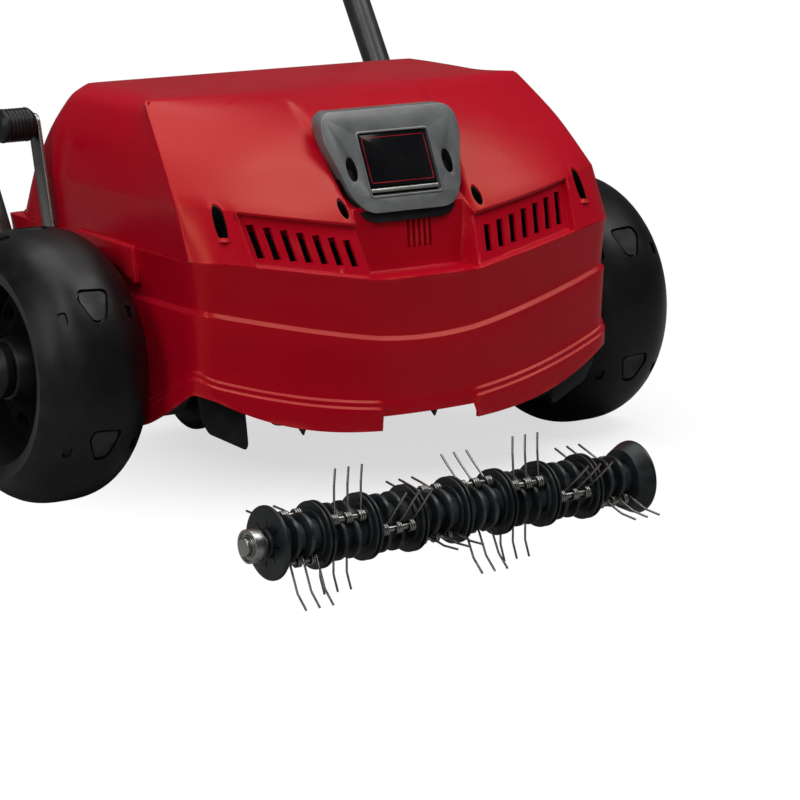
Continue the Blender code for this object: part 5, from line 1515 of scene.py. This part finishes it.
def add_lobed_knob(bm, profile, place):
    """A turned knob whose wide part is drawn in between its lobes."""
    rings = []
    for angle in full_turn(KNOB_SEGMENTS):
        dip = 0.0016 * (0.5 - 0.5 * math.cos(KNOB_LOBES * angle)) ** 1.5
        ring = []
        for x, r in profile:
            radius = r - dip if r > 0.012 else r
            ring.append(bm.verts.new(place @ Vector((x, radius * math.cos(angle), radius * math.sin(angle)))))
        rings.append(ring)
    for a, b in zip(rings, rings[1:] + rings[:1]):
        strip(bm, a, b, closed=False)


def build_knobs():
    stem = at(BOW_X - TUBE_RADIUS - 0.0003, (-3, 0), (-3, 5), (-2.2, 6), (0, 6), (0, 3))
    wheel = at(TUBE_FACE + 0.0003, (0, 3), (0, 8.5), (4.5, 9), (5.2, 15), (6.4, 16), (14.5, 16), (16.8, 14.6),
               (18, 11.8), (18, 7), (17.2, 6.2), (17.2, 0))
    for side, word in SIDES:
        bm = bmesh.new()
        add_lobed_knob(bm, sided(side, stem + wheel), FOLD_PLACE)
        piece("knob_" + word, bm, "black_plastic", "clamp_" + word, ("clamp_knob_" + word,))


def build_bow():
    corners = [(-BOW_X, 0.0, BOW_FOOT), (-BOW_X, 0.0, BOW_TOP), (BOW_X, 0.0, BOW_TOP), (BOW_X, 0.0, BOW_FOOT)]
    bm = bmesh.new()
    sweep(bm, rounded_line(corners, BOW_CORNER, 18), TUBE_RADIUS, 40)
    for side, _ in SIDES:
        plug = at(0.0, (-20.8, 0), (-20.8, 9), (-19.8, 10.4), (-15, 10.4), (-15, 0))
        add_turned(bm, plug, 40, Matrix.Translation((side * BOW_X, 0.0, 0.0)) @ UPRIGHT, 0.0005)
        boss = at(BOW_X, (-12.5, 0), (-12.5, 5.8), (-9, 6.6), (-6, 6.6), (-6, 0))
        add_turned(bm, sided(side, boss), 32, Matrix.Translation((0.0, 0.0, BAIL_UP)), 0.0005)
    bmesh.ops.transform(bm, matrix=FOLD_PLACE, verts=bm.verts)
    piece("handle_bow", bm, "tube_paint", "upper_handle", ("upper_bow",), 40.0)


def build_bail():
    corners = BAIL_HALF + [(-x, y, z) for x, y, z in reversed(BAIL_HALF)]
    bm = bmesh.new()
    sweep(bm, [BAIL_PLACE @ p for p in rounded_line(corners, 0.008)], BAIL_RADIUS, 20)
    piece("bail_wire", bm, "signal_red", "bail", ("bail_lever",), 40.0)


def add_head_block(bm, centre, half):
    """A box in the switch box's frame."""
    start = len(bm.verts)
    add_block(bm, [c - h for c, h in zip(centre, half)], [c + h for c, h in zip(centre, half)])
    bm.verts.ensure_lookup_table()
    bmesh.ops.transform(bm, matrix=HEAD_PLACE, verts=bm.verts[start:])


def switch_case():
    """The case with a parting groove round it and a round seat for the button."""
    half = SWITCH_HALF
    bm = bmesh.new()
    add_head_block(bm, (SWITCH_X, 0.0, 0.0), half)
    case = mesh_object("switch_case", bm)
    round_edges(case, 0.0075, 5)
    bm = bmesh.new()
    for sign in (-1, 1):
        add_head_block(bm, (SWITCH_X + sign * (half.x + 0.002), 0.0, 0.0), (0.0029, half.y + 0.004, 0.0005))
    for sign in (-1, 1):
        add_head_block(bm, (SWITCH_X, sign * (half.y + 0.002), 0.0), (half.x + 0.004, 0.0029, 0.0005))
    cut(case, bm)
    bm = bmesh.new()
    add_turned(bm, at(0.0, (14, 0), (14, 9.8), (40, 9.8), (40, 0)), 40, SWITCH_PLACE @ UPRIGHT)
    cut(case, bm)
    return case


def build_switch():
    """Switch box with its cover screws, and the safety button in its collar."""
    bm = reopened(switch_case())
    upright = SWITCH_PLACE @ UPRIGHT
    add_turned(bm, at(0.0, (28.5, 10), (31.2, 10), (31.2, 12.2), (28.5, 14)), 48, upright, 0.0005)
    screw = at(0.0, (-2, 0), (-2, 3), (0.4, 3), (0.8, 2), (0.4, 1.2), (0.4, 0))
    for x in (-0.034, 0.034):
        for z in (-0.020, 0.020):
            seat = Matrix.Translation((x, -SWITCH_HALF.y, z)) @ Matrix.Rotation(-math.pi / 2, 4, "Z")
            add_turned(bm, screw, 24, SWITCH_PLACE @ seat)
    piece("switch_case", bm, "black_plastic", "upper_handle", ("switch_box",))
    button = at(0.0, (21.6, 0), (21.6, 8.8), (34.5, 8.8), (35.6, 7.8), (36, 5), (35.7, 0))
    turned_piece("lock_button", button, 48, "signal_red", "button", upright, "safety_button")


def build_inlet():
    """Mains inlet under the switch box, with three pins."""
    bm = bmesh.new()
    socket = at(0.0, (-30.3, 0), (-30.3, 16), (-34, 16), (-35, 13.2), (-52, 13), (-52, 11.2), (-40, 10.8),
                (-40, 0))
    add_turned(bm, socket, 56, SWITCH_PLACE @ UPRIGHT, 0.0006)
    pin = at(0.0, (-50.5, 0), (-50.5, 1), (-50, 1.5), (-39, 1.5), (-39, 0))
    for x, y in ((-0.0042, -0.0018), (0.0042, -0.0018), (0.0, 0.0040)):
        add_turned(bm, pin, 20, SWITCH_PLACE @ Matrix.Translation((x, y, 0.0)) @ UPRIGHT)
    piece("inlet_socket", bm, "black_plastic", "upper_handle", ("mains_inlet",))


def build_grip():
    low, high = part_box("bar_grip")
    start = at(low.x, (0, 11.4), (0, 14), (1.5, 15.3))
    ridges = [(lerp(low.x + GRIP_END, high.x - GRIP_END, k / GRIP_RINGS), GRIP_RADIUS - 0.0004 * (k % 2))
              for k in range(1, GRIP_RINGS)]
    profile = start + ridges + flipped(start, low.x + high.x)
    turned_piece("foam_sleeve", profile, 56, "grip_foam", "upper_handle", HEAD_PLACE, "bar_grip", 0.0008)


# Studio

SHADE_CENTRE = (0.09, -0.074, 0.0)
FLOOR_NEAR = 0.14
FLOOR_FAR = 0.34
FLOOR_LIFT = 0.66
WHITE = (1.0, 1.0, 1.0, 1.0)
LIGHTS_AIM = (0.0, -0.1, 0.15)
# Soft lights of (place, size, power)
LIGHTS = {
    "overhead": ((0.0, 0.2, 2.6), (2.0, 2.0), 38),
    "panel_sheen": ((0.95, -0.85, 1.95), (1.0, 0.9), 17),
    "corner_band": ((-0.86, -1.25, 1.6), (0.26, 1.2), 12),
    "left_side": ((-2.2, -0.8, 1.2), (0.8, 1.6), 18),
    "front_fill": ((-0.9, -2.6, 0.9), (1.2, 0.9), 3),
}


def floor_material():
    """Pale floor that for the camera fades to white away from the object."""
    f = Finish("studio_floor", 0.9)
    f.colour(f.mix(f.span(f.noise(1.2, 2.0), 0.3, 0.7), (0.34, 0.34, 0.34), (0.36, 0.36, 0.36)))
    f.level("Specular IOR Level", 0.1)
    seen = f.node("LightPath").outputs["Is Camera Ray"]
    lift = f.node("Emission")
    f.link(f.product(seen, FLOOR_LIFT), lift.inputs["Strength"])
    near = f.node("AddShader")
    f.link(f.shader.outputs[0], near.inputs[0])
    f.link(lift.outputs[0], near.inputs[1])
    away = f.node("VectorMath")
    away.operation = "DISTANCE"
    away.inputs[1].default_value = SHADE_CENTRE
    f.link(f.place, away.inputs[0])
    fade = f.span(away.outputs["Value"], FLOOR_NEAR, FLOOR_FAR)
    blend = f.node("MixShader")
    f.link(f.product(seen, fade), blend.inputs["Fac"])
    f.link(near.outputs[0], blend.inputs[1])
    f.link(f.node("Emission").outputs[0], blend.inputs[2])
    f.link(blend.outputs[0], f.tree.nodes["Material Output"].inputs["Surface"])
    return f.mat


def studio_floor():
    bm = bmesh.new()
    bmesh.ops.create_grid(bm, x_segments=8, y_segments=8, size=6.0)
    mesh = bpy.data.meshes.new("studio_floor")
    bm.to_mesh(mesh)
    bm.free()
    floor = bpy.data.objects.new("studio_floor", mesh)
    floor.data.materials.append(floor_material())
    bpy.context.scene.collection.objects.link(floor)


def studio_lights():
    for name, (place, size, power) in LIGHTS.items():
        data = bpy.data.lights.new(name, "AREA")
        data.shape = "RECTANGLE"
        data.size, data.size_y = size
        data.energy = power
        lamp = bpy.data.objects.new(name, data)
        lamp.location = place
        lamp.rotation_euler = (Vector(LIGHTS_AIM) - Vector(place)).to_track_quat("-Z", "Y").to_euler()
        bpy.context.scene.collection.objects.link(lamp)


def studio_world():
    """Dim white light, and a white background for the camera."""
    world = bpy.data.worlds.new("studio")
    world.use_nodes = True
    tree = world.node_tree
    dim = tree.nodes["Background"]
    seen = tree.nodes.new("ShaderNodeBackground")
    for node, strength in ((dim, 0.09), (seen, 1.0)):
        node.inputs["Color"].default_value = WHITE
        node.inputs["Strength"].default_value = strength
    path = tree.nodes.new("ShaderNodeLightPath")
    blend = tree.nodes.new("ShaderNodeMixShader")
    tree.links.new(path.outputs["Is Camera Ray"], blend.inputs["Fac"])
    tree.links.new(dim.outputs[0], blend.inputs[1])
    tree.links.new(seen.outputs[0], blend.inputs[2])
    tree.links.new(blend.outputs[0], tree.nodes["World Output"].inputs["Surface"])
    bpy.context.scene.world = world


def studio_camera():
    data = bpy.data.cameras.new("photo_camera")
    data.sensor_width = SENSOR_MM
    data.lens = FOCAL_PIXELS / PICTURE_PIXELS * SENSOR_MM
    camera = bpy.data.objects.new("photo_camera", data)
    camera.location = CAMERA_AT + SHIFT
    camera.rotation_euler = (CAMERA_LOOK - CAMERA_AT).to_track_quat("-Z", "Y").to_euler()
    bpy.context.scene.collection.objects.link(camera)
    bpy.context.scene.camera = camera


dress_cad_nodes()
build_deck()
build_hood()
for wheel_side, wheel_word in SIDES:
    build_wheel(wheel_side, wheel_word)
    build_rear_wheel(wheel_side, wheel_word)
build_trim()
build_plate()
build_inner_pieces()
build_arch_flares()
build_skirt_fins()
build_blade_roller()
build_aerator()
build_crank()
build_flap()
build_rear_rods()
build_lower_tubes()
build_knobs()
build_bow()
build_bail()
build_switch()
build_inlet()
build_grip()
studio_floor()
studio_lights()
studio_world()
studio_camera()
bpy.context.scene.view_settings.view_transform = "Standard"
